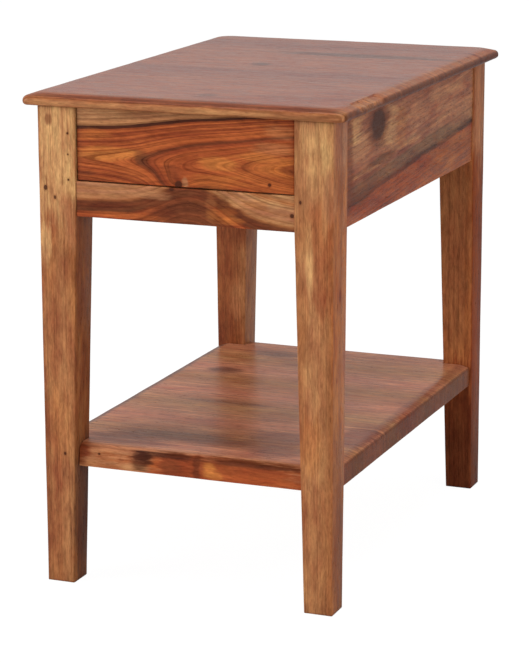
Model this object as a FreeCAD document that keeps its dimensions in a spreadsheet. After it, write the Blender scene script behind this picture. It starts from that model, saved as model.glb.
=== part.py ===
import FreeCAD, Part
import math
import os
import Sketcher
from types import SimpleNamespace

# Chairside table in solid hardwood, with one inset drawer and a low shelf. All lengths are millimetres.
# The origin is on the floor under the middle of the top. X runs across the front, Y from the front to
# the back, and Z up. The drawer opens towards -Y.

DIMENSIONS = (
    # Whole table
    ("table_height", 600, "floor to the upper face of the top"),
    ("frame_width", 370, "over the outer faces of the legs, across the front"),
    ("frame_depth", 582, "over the outer faces of the legs, front to back"),
    # Top
    ("top_thickness", 15, "board of the top"),
    ("top_side_overhang", 17, "top beyond the legs at the long sides"),
    ("top_end_overhang", 10, "top beyond the legs at the front and back"),
    ("top_bevel_width", 14, "sloped border of the top, seen from above"),
    ("top_bevel_drop", 5, "how far the sloped border falls"),
    ("top_corner_radius", 6, "rounded corners of the top, seen from above"),
    # Legs
    ("leg_section", 48, "square section of a leg beside the aprons"),
    ("leg_foot_section", 36, "square section of a leg at the floor"),
    ("leg_edge_radius", 2, "rounding of a leg's long edges"),
    # Aprons and rails
    ("apron_height", 130, "side and back aprons"),
    ("apron_thickness", 20, "side and back aprons"),
    ("apron_setback", 2, "apron and rail faces behind the leg faces"),
    ("front_rail_height", 42, "rail under the drawer"),
    ("front_rail_thickness", 20, "rail under the drawer"),
    ("top_rail_width", 38, "flat rail over the drawer, front to back"),
    ("top_rail_thickness", 18, "flat rail over the drawer"),
    # Mortises and tenons
    ("tenon_thickness", 9, "tenons of aprons and rails"),
    ("tenon_length", 24, "tenons of the aprons and the rail under the drawer"),
    ("apron_tenon_shoulder", 12, "apron above and below its tenon"),
    ("rail_tenon_shoulder", 8, "rail above and below its tenon"),
    ("top_rail_tenon_length", 14, "stub tenons of the rail over the drawer"),
    ("top_rail_tenon_width", 15, "stub tenons of the rail over the drawer"),
    ("top_rail_tenon_inset", 5, "stub tenon behind the front edge of its rail"),
    ("tenon_clearance", 0.2, "glue gap on each face of a tenon"),
    ("tenon_end_gap", 1, "mortise deeper than its tenon"),
    # Drawer guidance
    ("runner_width", 43, "runners and kickers, in from the aprons"),
    ("runner_height", 20, "board that the drawer slides on"),
    ("guide_height", 30, "strip that keeps the drawer straight"),
    ("kicker_height", 22, "strip over the drawer sides that also holds the top"),
    # Drawer
    ("drawer_gap", 1.2, "gap round the drawer front"),
    ("drawer_slide_gap", 0.3, "drawer above its runners"),
    ("drawer_front_setback", 4, "drawer front behind the leg faces"),
    ("drawer_front_thickness", 18, "drawer front"),
    ("drawer_stop_gap", 0.5, "closed drawer front in front of the rail over it"),
    ("drawer_back_room", 86, "closed drawer in front of the back apron"),
    ("drawer_side_thickness", 12, "drawer sides and back"),
    ("drawer_side_room", 2.8, "drawer sides under the kickers"),
    ("drawer_rebate_depth", 9, "how far a side is let into the drawer front"),
    ("drawer_bottom_thickness", 5, "drawer bottom"),
    ("drawer_bottom_height", 8, "drawer bottom above the lower edge of the sides"),
    ("drawer_groove_depth", 5, "grooves that hold the drawer bottom"),
    ("drawer_groove_clearance", 0.2, "drawer bottom in its grooves"),
    ("drawer_stop_width", 16, "turn button that stops the open drawer"),
    ("drawer_stop_thickness", 10, "turn button"),
    ("drawer_stop_headroom", 9, "turn button under the top"),
    # Shelf
    ("shelf_height", 147, "floor to the lower face of the shelf"),
    ("shelf_thickness", 28, "board of the shelf"),
    ("shelf_side_setback", 3, "shelf edges behind the leg faces at the long sides"),
    ("shelf_end_setback", 10, "shelf edges behind the leg faces at the front and back"),
    ("shelf_notch_clearance", 0.2, "shelf notches round the legs"),
    ("shelf_edge_radius", 3, "rounding of the shelf's upper edges"),
    # Fasteners
    ("screw_diameter", 4, "shank of the wood screws"),
    ("screw_head_diameter", 8, "countersunk heads"),
    ("screw_clearance", 0.1, "gap between a screw, nail or dowel and its hole"),
    ("screw_tip_length", 4, "pointed end of a screw"),
    ("kicker_screw_length", 30, "screws through the kickers into the top"),
    ("top_rail_screw_length", 25, "screws through the rail over the drawer into the top"),
    ("guide_screw_length", 38, "screws through the guides into the aprons"),
    ("runner_screw_length", 32, "screws through the runners into the guides"),
    ("stop_screw_length", 20, "screw of the turn button"),
    ("hole_end_gap", 1, "blind hole beyond its fastener"),
    ("dowel_diameter", 8, "dowels between the shelf and the legs"),
    ("dowel_length", 32, "dowels between the shelf and the legs"),
    ("dowel_in_leg", 12, "dowel inside the leg"),
    ("nail_diameter", 1.6, "nails of the drawer box"),
    ("nail_length", 28, "nails of the drawer box"),
    ("pin_length", 20, "nails that hold the drawer bottom"),
    # How far a cut runs past the wood
    ("overrun", 10, "every cut that goes right through"),
)

# Places along a piece, as shares of its length
KICKER_SCREW_SHARES = (0.08, 0.5, 0.92)
TOP_RAIL_SCREW_SHARES = (0.22, 0.78)
GUIDE_SCREW_SHARES = (0.05, 0.32, 0.68, 0.95)
RUNNER_SCREW_SHARES = (0.15, 0.5, 0.85)
DOWEL_SHARES = (0.25, 0.75)
NAIL_HEIGHT_SHARES = (0.2, 0.75)
PIN_SHARES = (0.2, 0.5, 0.8)
BACK_SCREW_SHARE = 0.76
STOP_SCREW_SHARE = 0.4
STOP_ROUNDING_SHARE = 0.45

COUNTERSINK_ANGLE = 90


class Size:
    """A length of the table: its value now, and the expression that keeps it tied to the sheet."""

    def __init__(self, value, text):
        self.value = value
        self.text = text

    def __add__(self, other):
        return Size(self.value + other.value, f"({self.text} + {other.text})")

    def __sub__(self, other):
        return Size(self.value - other.value, f"({self.text} - {other.text})")

    def __mul__(self, other):
        if isinstance(other, Size):
            return Size(self.value * other.value, f"({self.text} * {other.text})")
        return Size(self.value * other, f"({self.text} * {other})")

    def __truediv__(self, other):
        if isinstance(other, Size):
            return Size(self.value / other.value, f"({self.text} / {other.text})")
        return Size(self.value / other, f"({self.text} / {other})")

    def __neg__(self):
        return Size(-self.value, f"(-{self.text})")


doc = FreeCAD.newDocument("chairside_table")

# Driving dimensions
sheet = doc.addObject("Spreadsheet::Sheet", "sizes")
for row, (name, value, meaning) in enumerate(DIMENSIONS, start=1):
    sheet.set(f"A{row}", meaning)
    sheet.set(f"B{row}", str(value))
    sheet.setAlias(f"B{row}", name)
doc.recompute()
size = SimpleNamespace(**{name: Size(float(sheet.get(name)), f"sizes.{name}") for name, _, _ in DIMENSIONS})
ZERO = Size(0, "0")

# Heights
leg_height = size.table_height - size.top_thickness
apron_bottom = leg_height - size.apron_height
rail_top = apron_bottom + size.front_rail_height
drawer_floor = rail_top + size.drawer_gap
runner_top = drawer_floor - size.drawer_slide_gap
runner_bottom = runner_top - size.runner_height
kicker_bottom = leg_height - size.kicker_height
top_rail_bottom = leg_height - size.top_rail_thickness
shelf_top = size.shelf_height + size.shelf_thickness

# Distances from the middle of the table, across and along it
half_width = size.frame_width / 2
half_depth = size.frame_depth / 2
apron_inner_x = half_width - size.apron_setback - size.apron_thickness
apron_inner_y = half_depth - size.apron_setback - size.apron_thickness
leg_inner_x = half_width - size.leg_section
leg_inner_y = half_depth - size.leg_section
runner_inner_x = apron_inner_x - size.runner_width
front_rail_back = -half_depth + size.apron_setback + size.front_rail_thickness
drawer_front_face = -half_depth + size.drawer_front_setback
drawer_front_back = drawer_front_face + size.drawer_front_thickness
drawer_half_width = leg_inner_x - size.drawer_gap
drawer_side_inner = drawer_half_width - size.drawer_side_thickness
drawer_side_front = drawer_front_back - size.drawer_rebate_depth
drawer_end = apron_inner_y - size.drawer_back_room
drawer_back_face = drawer_end - size.drawer_side_thickness
top_rail_front = drawer_front_back + size.drawer_stop_gap
top_rail_back = top_rail_front + size.top_rail_width

# Lengths between the pieces that carry them
space_across = leg_inner_x * 2
space_along = leg_inner_y * 2
runner_length = apron_inner_y - front_rail_back
kicker_length = leg_inner_y - top_rail_back
guide_width = apron_inner_x - leg_inner_x
drawer_front_height = leg_height - size.drawer_gap - drawer_floor
drawer_panel_bottom = drawer_floor + size.drawer_bottom_height
drawer_panel_top = drawer_panel_bottom + size.drawer_bottom_thickness
drawer_side_top = kicker_bottom - size.drawer_side_room
drawer_side_height = drawer_side_top - drawer_floor
drawer_side_length = drawer_end - drawer_side_front
drawer_back_height = drawer_side_top - drawer_panel_top
drawer_back_width = drawer_side_inner * 2

# The turn button: its screw stands this high, its end just under the top, and its tail below the screw
stop_screw_height = drawer_panel_top + drawer_back_height * BACK_SCREW_SHARE
stop_top = leg_height - size.drawer_stop_headroom
stop_length = (stop_top - stop_screw_height) / (1 - STOP_SCREW_SHARE)
stop_bottom = stop_top - stop_length

# A leg is this thick half way up the shelf, and this thick at the shelf's upper face
taper_rate = (size.leg_section - size.leg_foot_section) / apron_bottom
leg_at_dowels = size.leg_foot_section + taper_rate * (size.shelf_height + size.shelf_thickness / 2)
leg_at_shelf_top = size.leg_foot_section + taper_rate * shelf_top

# Holes
screw_hole = size.screw_diameter + size.screw_clearance * 2
screw_head_hole = size.screw_head_diameter + size.screw_clearance * 2
nail_hole = size.nail_diameter + size.screw_clearance * 2
dowel_hole = size.dowel_diameter + size.screw_clearance * 2

kept = []


def start(label):
    """A new piece of wood, worked in its own frame with its corner at the origin."""
    body = doc.addObject("PartDesign::Body", label)
    body.Label = label
    kept.append(body)
    return body


def place(piece, x, y, z, turn=0):
    """Set a piece in the table, turned about the upright axis."""
    spot = FreeCAD.Vector(x.value, y.value, z.value)
    piece.Placement = FreeCAD.Placement(spot, FreeCAD.Rotation(FreeCAD.Vector(0, 0, 1), turn))
    for axis, length in zip("xyz", (x, y, z)):
        piece.setExpression(f"Placement.Base.{axis}", length.text)


def sketch_on(body, name, plane, offset=ZERO):
    """An empty sketch on one of the body's own planes, or at an offset along that plane's normal."""
    sketch = body.newObject("Sketcher::SketchObject", name)
    support = next(item for item in body.Origin.OriginFeatures if item.Role == plane)
    sketch.AttachmentSupport = (support, [""])
    sketch.MapMode = "FlatFace"
    sketch.AttachmentOffset = FreeCAD.Placement(FreeCAD.Vector(0, 0, offset.value), FreeCAD.Rotation())
    sketch.setExpression("AttachmentOffset.Base.z", offset.text)
    return sketch


def hold(sketch, item, point, x, y):
    """Tie one point of a sketch to the sheet."""
    for kind, length, axis in (("DistanceX", x, -2), ("DistanceY", y, -1)):
        if length is ZERO:
            sketch.addConstraint(Sketcher.Constraint("PointOnObject", item, point, axis))
        else:
            rule = Sketcher.Constraint(kind, -1, 1, item, point, length.value)
            sketch.setExpression(f"Constraints[{sketch.addConstraint(rule)}]", length.text)


def outline(body, name, plane, corners, offset=ZERO):
    """A closed outline of straight lines through the corners."""
    sketch = sketch_on(body, name, plane, offset)
    points = [FreeCAD.Vector(x.value, y.value, 0) for x, y in corners]
    for start_point, end_point in zip(points, points[1:] + points[:1]):
        sketch.addGeometry(Part.LineSegment(start_point, end_point), False)
    for line in range(len(points)):
        sketch.addConstraint(Sketcher.Constraint("Coincident", line, 2, (line + 1) % len(points), 1))
    for line, (x, y) in enumerate(corners):
        hold(sketch, line, 1, x, y)
    return sketch


def rectangle(x_low, y_low, x_high, y_high):
    return [(x_low, y_low), (x_high, y_low), (x_high, y_high), (x_low, y_high)]


def circles(body, name, plane, centres, diameter, offset=ZERO):
    """Circles of one diameter, each centre tied to the sheet."""
    sketch = sketch_on(body, name, plane, offset)
    for item, (x, y) in enumerate(centres):
        middle = FreeCAD.Vector(x.value, y.value, 0)
        sketch.addGeometry(Part.Circle(middle, FreeCAD.Vector(0, 0, 1), diameter.value / 2), False)
        hold(sketch, item, 3, x, y)
        rule = sketch.addConstraint(Sketcher.Constraint("Diameter", item, diameter.value))
        sketch.setExpression(f"Constraints[{rule}]", diameter.text)
    return sketch


def pad(body, name, sketch, length, both_ways=False):
    feature = body.newObject("PartDesign::Pad", name)
    feature.Profile = (sketch, [""])
    feature.Length = length.value
    feature.setExpression("Length", length.text)
    feature.SideType = "Symmetric" if both_ways else "One side"
    return feature


def pocket(body, name, sketch, length, along_normal=False):
    """Cut from the sketch against its plane's normal, or along it."""
    feature = body.newObject("PartDesign::Pocket", name)
    feature.Profile = (sketch, [""])
    feature.Length = length.value
    feature.setExpression("Length", length.text)
    feature.Reversed = along_normal
    return feature


def drill(body, name, sketch, diameter, depth, head=None, along_normal=False):
    """Flat-bottomed holes at a sketch's circles, countersunk to the head's diameter where one is given."""
    doc.recompute()
    feature = body.newObject("PartDesign::Hole", name)
    feature.Profile = (sketch, [""])
    feature.ThreadType = "None"
    feature.DepthType = "Dimension"
    feature.DrillPoint = "Flat"
    feature.Diameter = diameter.value
    feature.setExpression("Diameter", diameter.text)
    feature.Depth = depth.value
    feature.setExpression("Depth", depth.text)
    feature.Reversed = along_normal
    if head is not None:
        feature.HoleCutType = "Countersink"
        feature.HoleCutDiameter = head.value
        feature.setExpression("HoleCutDiameter", head.text)
        feature.HoleCutCountersinkAngle = COUNTERSINK_ANGLE
    return feature


def rounded_square(body, name, side, radius, offset=ZERO):
    """A square with one corner at the origin and all four corners rounded, in a level plane."""
    sketch = sketch_on(body, name, "XY_Plane", offset)
    near = radius
    far = side - radius
    ends = [
        (near, ZERO), (far, ZERO), (side, near), (side, far),
        (far, side), (near, side), (ZERO, far), (ZERO, near),
    ]
    centres = [(near, near), (far, near), (far, far), (near, far)]
    points = [FreeCAD.Vector(x.value, y.value, 0) for x, y in ends]
    for corner in range(4):
        first, second = points[corner * 2], points[corner * 2 + 1]
        sketch.addGeometry(Part.LineSegment(first, second), False)
        middle_x, middle_y = centres[(corner + 1) % 4]
        middle = FreeCAD.Vector(middle_x.value, middle_y.value, 0)
        after = points[(corner * 2 + 2) % 8]
        bulge = (second + after) / 2 - middle
        bulge.normalize()
        sketch.addGeometry(Part.Arc(second, middle + bulge * radius.value, after), False)
    for corner in range(4):
        line = corner * 2
        arc = line + 1
        sketch.addConstraint(Sketcher.Constraint("Coincident", line, 2, arc, 1))
        sketch.addConstraint(Sketcher.Constraint("Coincident", arc, 2, (line + 2) % 8, 1))
        hold(sketch, line, 1, *ends[corner * 2])
        hold(sketch, line, 2, *ends[corner * 2 + 1])
        rule = sketch.addConstraint(Sketcher.Constraint("Radius", arc, radius.value))
        sketch.setExpression(f"Constraints[{rule}]", radius.text)
    return sketch


def round_edges(body, name, base, radius, wanted):
    """Round the edges of a feature that a test of their two ends picks out."""
    doc.recompute()
    names = []
    for number, edge in enumerate(base.Shape.Edges, start=1):
        ends = [vertex.Point for vertex in edge.Vertexes]
        if len(ends) == 2 and wanted(*ends):
            names.append(f"Edge{number}")
    feature = body.newObject("PartDesign::Fillet", name)
    feature.Base = (base, names)
    feature.Radius = radius.value
    feature.setExpression("Radius", radius.text)
    return feature


def is_upright(first, second):
    """An edge that climbs more than it leans."""
    lean = math.hypot(second.x - first.x, second.y - first.y)
    return abs(second.z - first.z) > lean


def runs_along_y(first, second):
    return abs(second.y - first.y) > math.hypot(second.x - first.x, second.z - first.z)


# Top: one board with rounded corners and a sloped border on all four sides

top_width = size.frame_width + size.top_side_overhang * 2
top_length = size.frame_depth + size.top_end_overhang * 2


def bevel_section(outer, inner, past):
    """The wood that one long cut takes off an edge, from its outer face to the flat."""
    low = size.top_thickness - size.top_bevel_drop
    high = size.top_thickness + size.overrun
    return [(outer, low), (inner, size.top_thickness), (inner, high), (past, high), (past, low)]


def screw_places_under_top():
    """Where screws come up into the top, across and along the table."""
    across = runner_inner_x + size.runner_width / 2
    along = [top_rail_back + kicker_length * share for share in KICKER_SCREW_SHARES]
    return [(across * side, y) for side in (-1, 1) for y in along]


def screw_places_in_top_rail():
    middle = top_rail_front + size.top_rail_width / 2
    return [(space_across * share - leg_inner_x, middle) for share in TOP_RAIL_SCREW_SHARES]


def make_top():
    body = start("table_top")
    blank = outline(body, "top_blank", "XY_Plane", rectangle(ZERO, ZERO, top_width, top_length))
    board = pad(body, "top_board", blank, size.top_thickness)
    round_edges(body, "top_corners", board, size.top_corner_radius, is_upright)
    for plane, reach, length, forward in (
        ("XZ_Plane", top_width, top_length, False),
        ("YZ_Plane", top_length, top_width, True),
    ):
        low_side = bevel_section(ZERO, size.top_bevel_width, -size.overrun)
        high_side = bevel_section(reach, reach - size.top_bevel_width, reach + size.overrun)
        for end, section in (("low", low_side), ("high", high_side)):
            cut = outline(body, f"top_bevel_{plane}_{end}_outline", plane, section)
            pocket(body, f"top_bevel_{plane}_{end}", cut, length, along_normal=forward)
    for name, places, screw_length, wood in (
        ("kicker", screw_places_under_top(), size.kicker_screw_length, size.kicker_height),
        ("rail", screw_places_in_top_rail(), size.top_rail_screw_length, size.top_rail_thickness),
    ):
        centres = [(x + top_width / 2, y + top_length / 2) for x, y in places]
        marks = circles(body, f"top_{name}_marks", "XY_Plane", centres, screw_hole)
        depth = screw_length - wood + size.hole_end_gap
        drill(body, f"top_{name}_holes", marks, screw_hole, depth, along_normal=True)
    place(body, -top_width / 2, -top_length / 2, leg_height)


# Legs: square beside the aprons, tapered on the two inner faces below them, mortised on those faces.
# In its own frame a leg has its outer corner at the origin. Its "x" face and "y" face are the inner ones.

INNER_PLANES = {"x": ("YZ_Plane", 1), "y": ("XZ_Plane", -1)}


def mortise(body, name, face, offset, width, bottom, height, depth):
    """A mortise in an inner face, its side at an offset from the leg's other outer face."""
    plane, side = INNER_PLANES[face]
    gap = size.tenon_clearance
    corners = rectangle(offset - gap, bottom - gap, offset + width + gap, bottom + height + gap)
    mark = outline(body, f"{name}_outline", plane, corners, offset=size.leg_section * side)
    pocket(body, name, mark, depth + size.tenon_end_gap, along_normal=(side < 0))


def apron_mortise(body, name, face):
    offset = size.apron_setback + (size.apron_thickness - size.tenon_thickness) / 2
    bottom = apron_bottom + size.apron_tenon_shoulder
    height = size.apron_height - size.apron_tenon_shoulder * 2
    mortise(body, name, face, offset, size.tenon_thickness, bottom, height, size.tenon_length)


def front_rail_mortise(body, name, face):
    offset = size.apron_setback + (size.front_rail_thickness - size.tenon_thickness) / 2
    bottom = apron_bottom + size.rail_tenon_shoulder
    height = size.front_rail_height - size.rail_tenon_shoulder * 2
    mortise(body, name, face, offset, size.tenon_thickness, bottom, height, size.tenon_length)


def top_rail_mortise(body, name, face):
    offset = top_rail_front + half_depth + size.top_rail_tenon_inset
    bottom = top_rail_bottom + (size.top_rail_thickness - size.tenon_thickness) / 2
    mortise(body, name, face, offset, size.top_rail_tenon_width, bottom, size.tenon_thickness,
            size.top_rail_tenon_length)


def dowel_offsets():
    """Dowels along a shelf notch, from the leg's outer face."""
    run = leg_at_shelf_top - size.shelf_end_setback
    return [size.shelf_end_setback + run * share for share in DOWEL_SHARES]


def dowel_bores(body, face):
    plane, side = INNER_PLANES[face]
    height = size.shelf_height + size.shelf_thickness / 2
    centres = [(offset, height) for offset in dowel_offsets()]
    marks = circles(body, f"{body.Label}_dowel_marks", plane, centres, dowel_hole,
                    offset=size.leg_section * side)
    depth = size.leg_section - leg_at_dowels + size.dowel_in_leg + size.hole_end_gap
    pocket(body, f"{body.Label}_dowel_bores", marks, depth, along_normal=(side < 0))


def make_leg(label, corner_x, corner_y, turn, at_front):
    """A leg turned so that its inner faces look into the table."""
    body = start(label)
    radius = size.leg_edge_radius
    square = rounded_square(body, f"{label}_square", size.leg_section, radius, offset=apron_bottom)
    pad(body, f"{label}_upper_part", square, size.apron_height)
    foot = rounded_square(body, f"{label}_foot", size.leg_foot_section, radius)
    knee = rounded_square(body, f"{label}_knee", size.leg_section, radius, offset=apron_bottom)
    taper = body.newObject("PartDesign::AdditiveLoft", f"{label}_taper")
    taper.Profile = (foot, [""])
    taper.Sections = [(knee, [""])]
    taper.Ruled = True
    across, along = ("x", "y") if turn % 180 == 0 else ("y", "x")
    apron_mortise(body, f"{label}_side_mortise", along)
    if at_front:
        front_rail_mortise(body, f"{label}_rail_mortise", across)
        top_rail_mortise(body, f"{label}_top_rail_mortise", across)
    else:
        apron_mortise(body, f"{label}_back_mortise", across)
    dowel_bores(body, across)
    place(body, corner_x, corner_y, ZERO, turn)


def make_legs():
    make_leg("leg_front_left", -half_width, -half_depth, 0, True)
    make_leg("leg_front_right", half_width, -half_depth, 90, True)
    make_leg("leg_back_right", half_width, half_depth, 180, False)
    make_leg("leg_back_left", -half_width, half_depth, 270, False)


# Aprons and rails. Each lies along its own X with the end of a tenon at the origin and its thickness
# centred on the XZ plane.

def make_tenoned_board(label, length, height, thickness, shoulder):
    body = start(label)
    reach = length + size.tenon_length * 2
    face = outline(body, f"{label}_face", "XZ_Plane",
                   rectangle(size.tenon_length, ZERO, size.tenon_length + length, height))
    pad(body, f"{label}_board", face, thickness, both_ways=True)
    tongue = outline(body, f"{label}_tongue", "XZ_Plane",
                     rectangle(ZERO, shoulder, reach, height - shoulder))
    pad(body, f"{label}_tenons", tongue, size.tenon_thickness, both_ways=True)
    return body


def drill_apron_for_guide(body):
    """Pilot holes in the inner face of a side apron, which looks along the board's +Y or -Y."""
    inner = 1 if body.Label == "apron_right" else -1
    height = runner_top + size.guide_height / 2 - apron_bottom
    centres = [(size.tenon_length + space_along * share, height) for share in GUIDE_SCREW_SHARES]
    marks = circles(body, f"{body.Label}_marks", "XZ_Plane", centres, screw_hole,
                    offset=size.apron_thickness / 2 * -inner)
    depth = size.guide_screw_length - guide_width + size.hole_end_gap
    drill(body, f"{body.Label}_pilot_holes", marks, screw_hole, depth, along_normal=(inner > 0))


def make_aprons():
    side_middle = half_width - size.apron_setback - size.apron_thickness / 2
    end_middle = half_depth - size.apron_setback - size.apron_thickness / 2
    tenon_start = -leg_inner_y - size.tenon_length
    for label, x in (("apron_left", -side_middle), ("apron_right", side_middle)):
        body = make_tenoned_board(label, space_along, size.apron_height, size.apron_thickness,
                                  size.apron_tenon_shoulder)
        drill_apron_for_guide(body)
        place(body, x, tenon_start, apron_bottom, 90)
    body = make_tenoned_board("apron_back", space_across, size.apron_height, size.apron_thickness,
                              size.apron_tenon_shoulder)
    place(body, -leg_inner_x - size.tenon_length, end_middle, apron_bottom)


def make_front_rail():
    body = make_tenoned_board("front_rail", space_across, size.front_rail_height, size.front_rail_thickness,
                              size.rail_tenon_shoulder)
    middle = -half_depth + size.apron_setback + size.front_rail_thickness / 2
    place(body, -leg_inner_x - size.tenon_length, middle, apron_bottom)


def make_top_rail():
    """Flat rail behind the drawer front: it ties the legs, stops the closed drawer and holds the top."""
    body = start("top_rail")
    stub = size.top_rail_tenon_length
    plan = rectangle(stub, ZERO, stub + space_across, size.top_rail_width)
    pad(body, "top_rail_board", outline(body, "top_rail_plan", "XY_Plane", plan), size.top_rail_thickness)
    near = size.top_rail_tenon_inset
    far = near + size.top_rail_tenon_width
    low = (size.top_rail_thickness - size.tenon_thickness) / 2
    tongue = outline(body, "top_rail_tongue", "XY_Plane",
                     rectangle(ZERO, near, space_across + stub * 2, far), offset=low)
    pad(body, "top_rail_tenons", tongue, size.tenon_thickness)
    centres = [(x + leg_inner_x + stub, y - top_rail_front) for x, y in screw_places_in_top_rail()]
    marks = circles(body, "top_rail_marks", "XY_Plane", centres, screw_hole)
    drill(body, "top_rail_screw_holes", marks, screw_hole, size.top_rail_thickness, screw_head_hole,
          along_normal=True)
    place(body, -leg_inner_x - stub, top_rail_front, top_rail_bottom)


# Drawer guidance. The right and left pieces are one shape, turned half round.

def shares_on(side, shares):
    """Shares of a length from its front end, or, on the turned left piece, from its back end."""
    return shares if side > 0 else [1 - share for share in shares]


def make_runners():
    """Boards between the front rail and the back apron, notched round the legs."""
    tongue = leg_inner_x - runner_inner_x
    near = -leg_inner_y - front_rail_back
    far = near + space_along
    plan = [
        (ZERO, ZERO), (tongue, ZERO), (tongue, near), (size.runner_width, near),
        (size.runner_width, far), (tongue, far), (tongue, runner_length), (ZERO, runner_length),
    ]
    across = tongue + guide_width / 2
    for label, side in (("runner_left", -1), ("runner_right", 1)):
        shares = shares_on(side, RUNNER_SCREW_SHARES)
        centres = [(across, near + space_along * share) for share in shares]
        body = start(label)
        pad(body, f"{label}_board", outline(body, f"{label}_plan", "XY_Plane", plan), size.runner_height)
        marks = circles(body, f"{label}_marks", "XY_Plane", centres, screw_hole)
        drill(body, f"{label}_screw_holes", marks, screw_hole, size.runner_height, screw_head_hole,
              along_normal=True)
        if side > 0:
            place(body, runner_inner_x, front_rail_back, runner_bottom)
        else:
            place(body, -runner_inner_x, apron_inner_y, runner_bottom, 180)


def make_guides():
    """Strips on the runners, flush with the legs, that keep the drawer straight."""
    plan = rectangle(ZERO, ZERO, guide_width, space_along)
    for label, side in (("guide_left", -1), ("guide_right", 1)):
        side_shares = shares_on(side, GUIDE_SCREW_SHARES)
        side_marks = [(space_along * share, size.guide_height / 2) for share in side_shares]
        lower_shares = shares_on(side, RUNNER_SCREW_SHARES)
        lower_marks = [(guide_width / 2, space_along * share) for share in lower_shares]
        body = start(label)
        pad(body, f"{label}_strip", outline(body, f"{label}_plan", "XY_Plane", plan), size.guide_height)
        marks = circles(body, f"{label}_side_marks", "YZ_Plane", side_marks, screw_hole)
        drill(body, f"{label}_side_holes", marks, screw_hole, guide_width, screw_head_hole,
              along_normal=True)
        marks = circles(body, f"{label}_lower_marks", "XY_Plane", lower_marks, screw_hole)
        depth = size.runner_screw_length - size.runner_height + size.hole_end_gap
        drill(body, f"{label}_lower_holes", marks, screw_hole, depth, along_normal=True)
        if side > 0:
            place(body, leg_inner_x, -leg_inner_y, runner_top)
        else:
            place(body, -leg_inner_x, leg_inner_y, runner_top, 180)


def make_kickers():
    """Strips under the top, over the drawer sides, that keep the open drawer from tipping."""
    plan = rectangle(ZERO, ZERO, size.runner_width, kicker_length)
    for label, side in (("kicker_left", -1), ("kicker_right", 1)):
        shares = shares_on(side, KICKER_SCREW_SHARES)
        centres = [(size.runner_width / 2, kicker_length * share) for share in shares]
        body = start(label)
        pad(body, f"{label}_strip", outline(body, f"{label}_plan", "XY_Plane", plan), size.kicker_height)
        marks = circles(body, f"{label}_marks", "XY_Plane", centres, screw_hole)
        drill(body, f"{label}_screw_holes", marks, screw_hole, size.kicker_height, screw_head_hole,
              along_normal=True)
        if side > 0:
            place(body, runner_inner_x, top_rail_back, kicker_bottom)
        else:
            place(body, -runner_inner_x, leg_inner_y, kicker_bottom, 180)


# Drawer: an inset front with the sides let into its ends, a back between the sides, and a thin bottom
# in grooves, nailed up into the back.

panel_groove_low = drawer_panel_bottom - size.drawer_groove_clearance - drawer_floor
panel_groove_high = drawer_panel_top + size.drawer_groove_clearance - drawer_floor
groove_depth = size.drawer_groove_depth + size.drawer_groove_clearance


def nail_heights():
    """Nails into the drawer's front and back, from the lower edge of the sides."""
    return [drawer_panel_top - drawer_floor + drawer_back_height * share for share in NAIL_HEIGHT_SHARES]


def make_drawer_front():
    body = start("drawer_front")
    width = drawer_half_width * 2
    thickness = size.drawer_front_thickness
    face = outline(body, "drawer_front_face", "XZ_Plane", rectangle(ZERO, ZERO, width, drawer_front_height))
    pad(body, "drawer_front_board", face, thickness)
    shoulder = size.drawer_side_thickness
    for end, low, high in (("left", ZERO, shoulder), ("right", width - shoulder, width)):
        mark = outline(body, f"drawer_front_rebate_{end}_outline", "XZ_Plane",
                       rectangle(low, ZERO, high, drawer_side_height))
        pocket(body, f"drawer_front_rebate_{end}", mark, size.drawer_rebate_depth, along_normal=True)
    mark = outline(body, "drawer_front_groove_outline", "XZ_Plane",
                   rectangle(shoulder, panel_groove_low, width - shoulder, panel_groove_high))
    pocket(body, "drawer_front_groove", mark, groove_depth, along_normal=True)
    depth = size.nail_length - size.drawer_side_thickness + size.hole_end_gap
    centres = [(-size.drawer_rebate_depth / 2, height) for height in nail_heights()]
    marks = circles(body, "drawer_front_left_marks", "YZ_Plane", centres, nail_hole, offset=shoulder)
    drill(body, "drawer_front_left_holes", marks, nail_hole, depth, along_normal=True)
    marks = circles(body, "drawer_front_right_marks", "YZ_Plane", centres, nail_hole,
                    offset=width - shoulder)
    drill(body, "drawer_front_right_holes", marks, nail_hole, depth)
    place(body, -drawer_half_width, drawer_front_back, drawer_floor)


def make_drawer_sides():
    """In its own frame a side has its inner face on the YZ plane; the left one is turned half round."""
    inset = size.drawer_rebate_depth / 2
    behind = drawer_side_length - size.drawer_side_thickness / 2
    for label, side in (("drawer_side_left", -1), ("drawer_side_right", 1)):
        body = start(label)
        face = outline(body, f"{label}_face", "YZ_Plane",
                       rectangle(ZERO, ZERO, drawer_side_length, drawer_side_height))
        pad(body, f"{label}_board", face, size.drawer_side_thickness)
        mark = outline(body, f"{label}_groove_outline", "YZ_Plane",
                       rectangle(ZERO, panel_groove_low, drawer_side_length, panel_groove_high))
        pocket(body, f"{label}_groove", mark, groove_depth, along_normal=True)
        rows = (inset, behind) if side > 0 else (drawer_side_length - inset, drawer_side_length - behind)
        centres = [(along, height) for along in rows for height in nail_heights()]
        marks = circles(body, f"{label}_marks", "YZ_Plane", centres, nail_hole)
        pocket(body, f"{label}_nail_holes", marks, size.drawer_side_thickness, along_normal=True)
        if side > 0:
            place(body, drawer_side_inner, drawer_side_front, drawer_floor)
        else:
            place(body, -drawer_side_inner, drawer_end, drawer_floor, 180)


def pin_places():
    """Nails under the drawer bottom, across the drawer back, from its left end."""
    return [drawer_back_width * share for share in PIN_SHARES]


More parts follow.
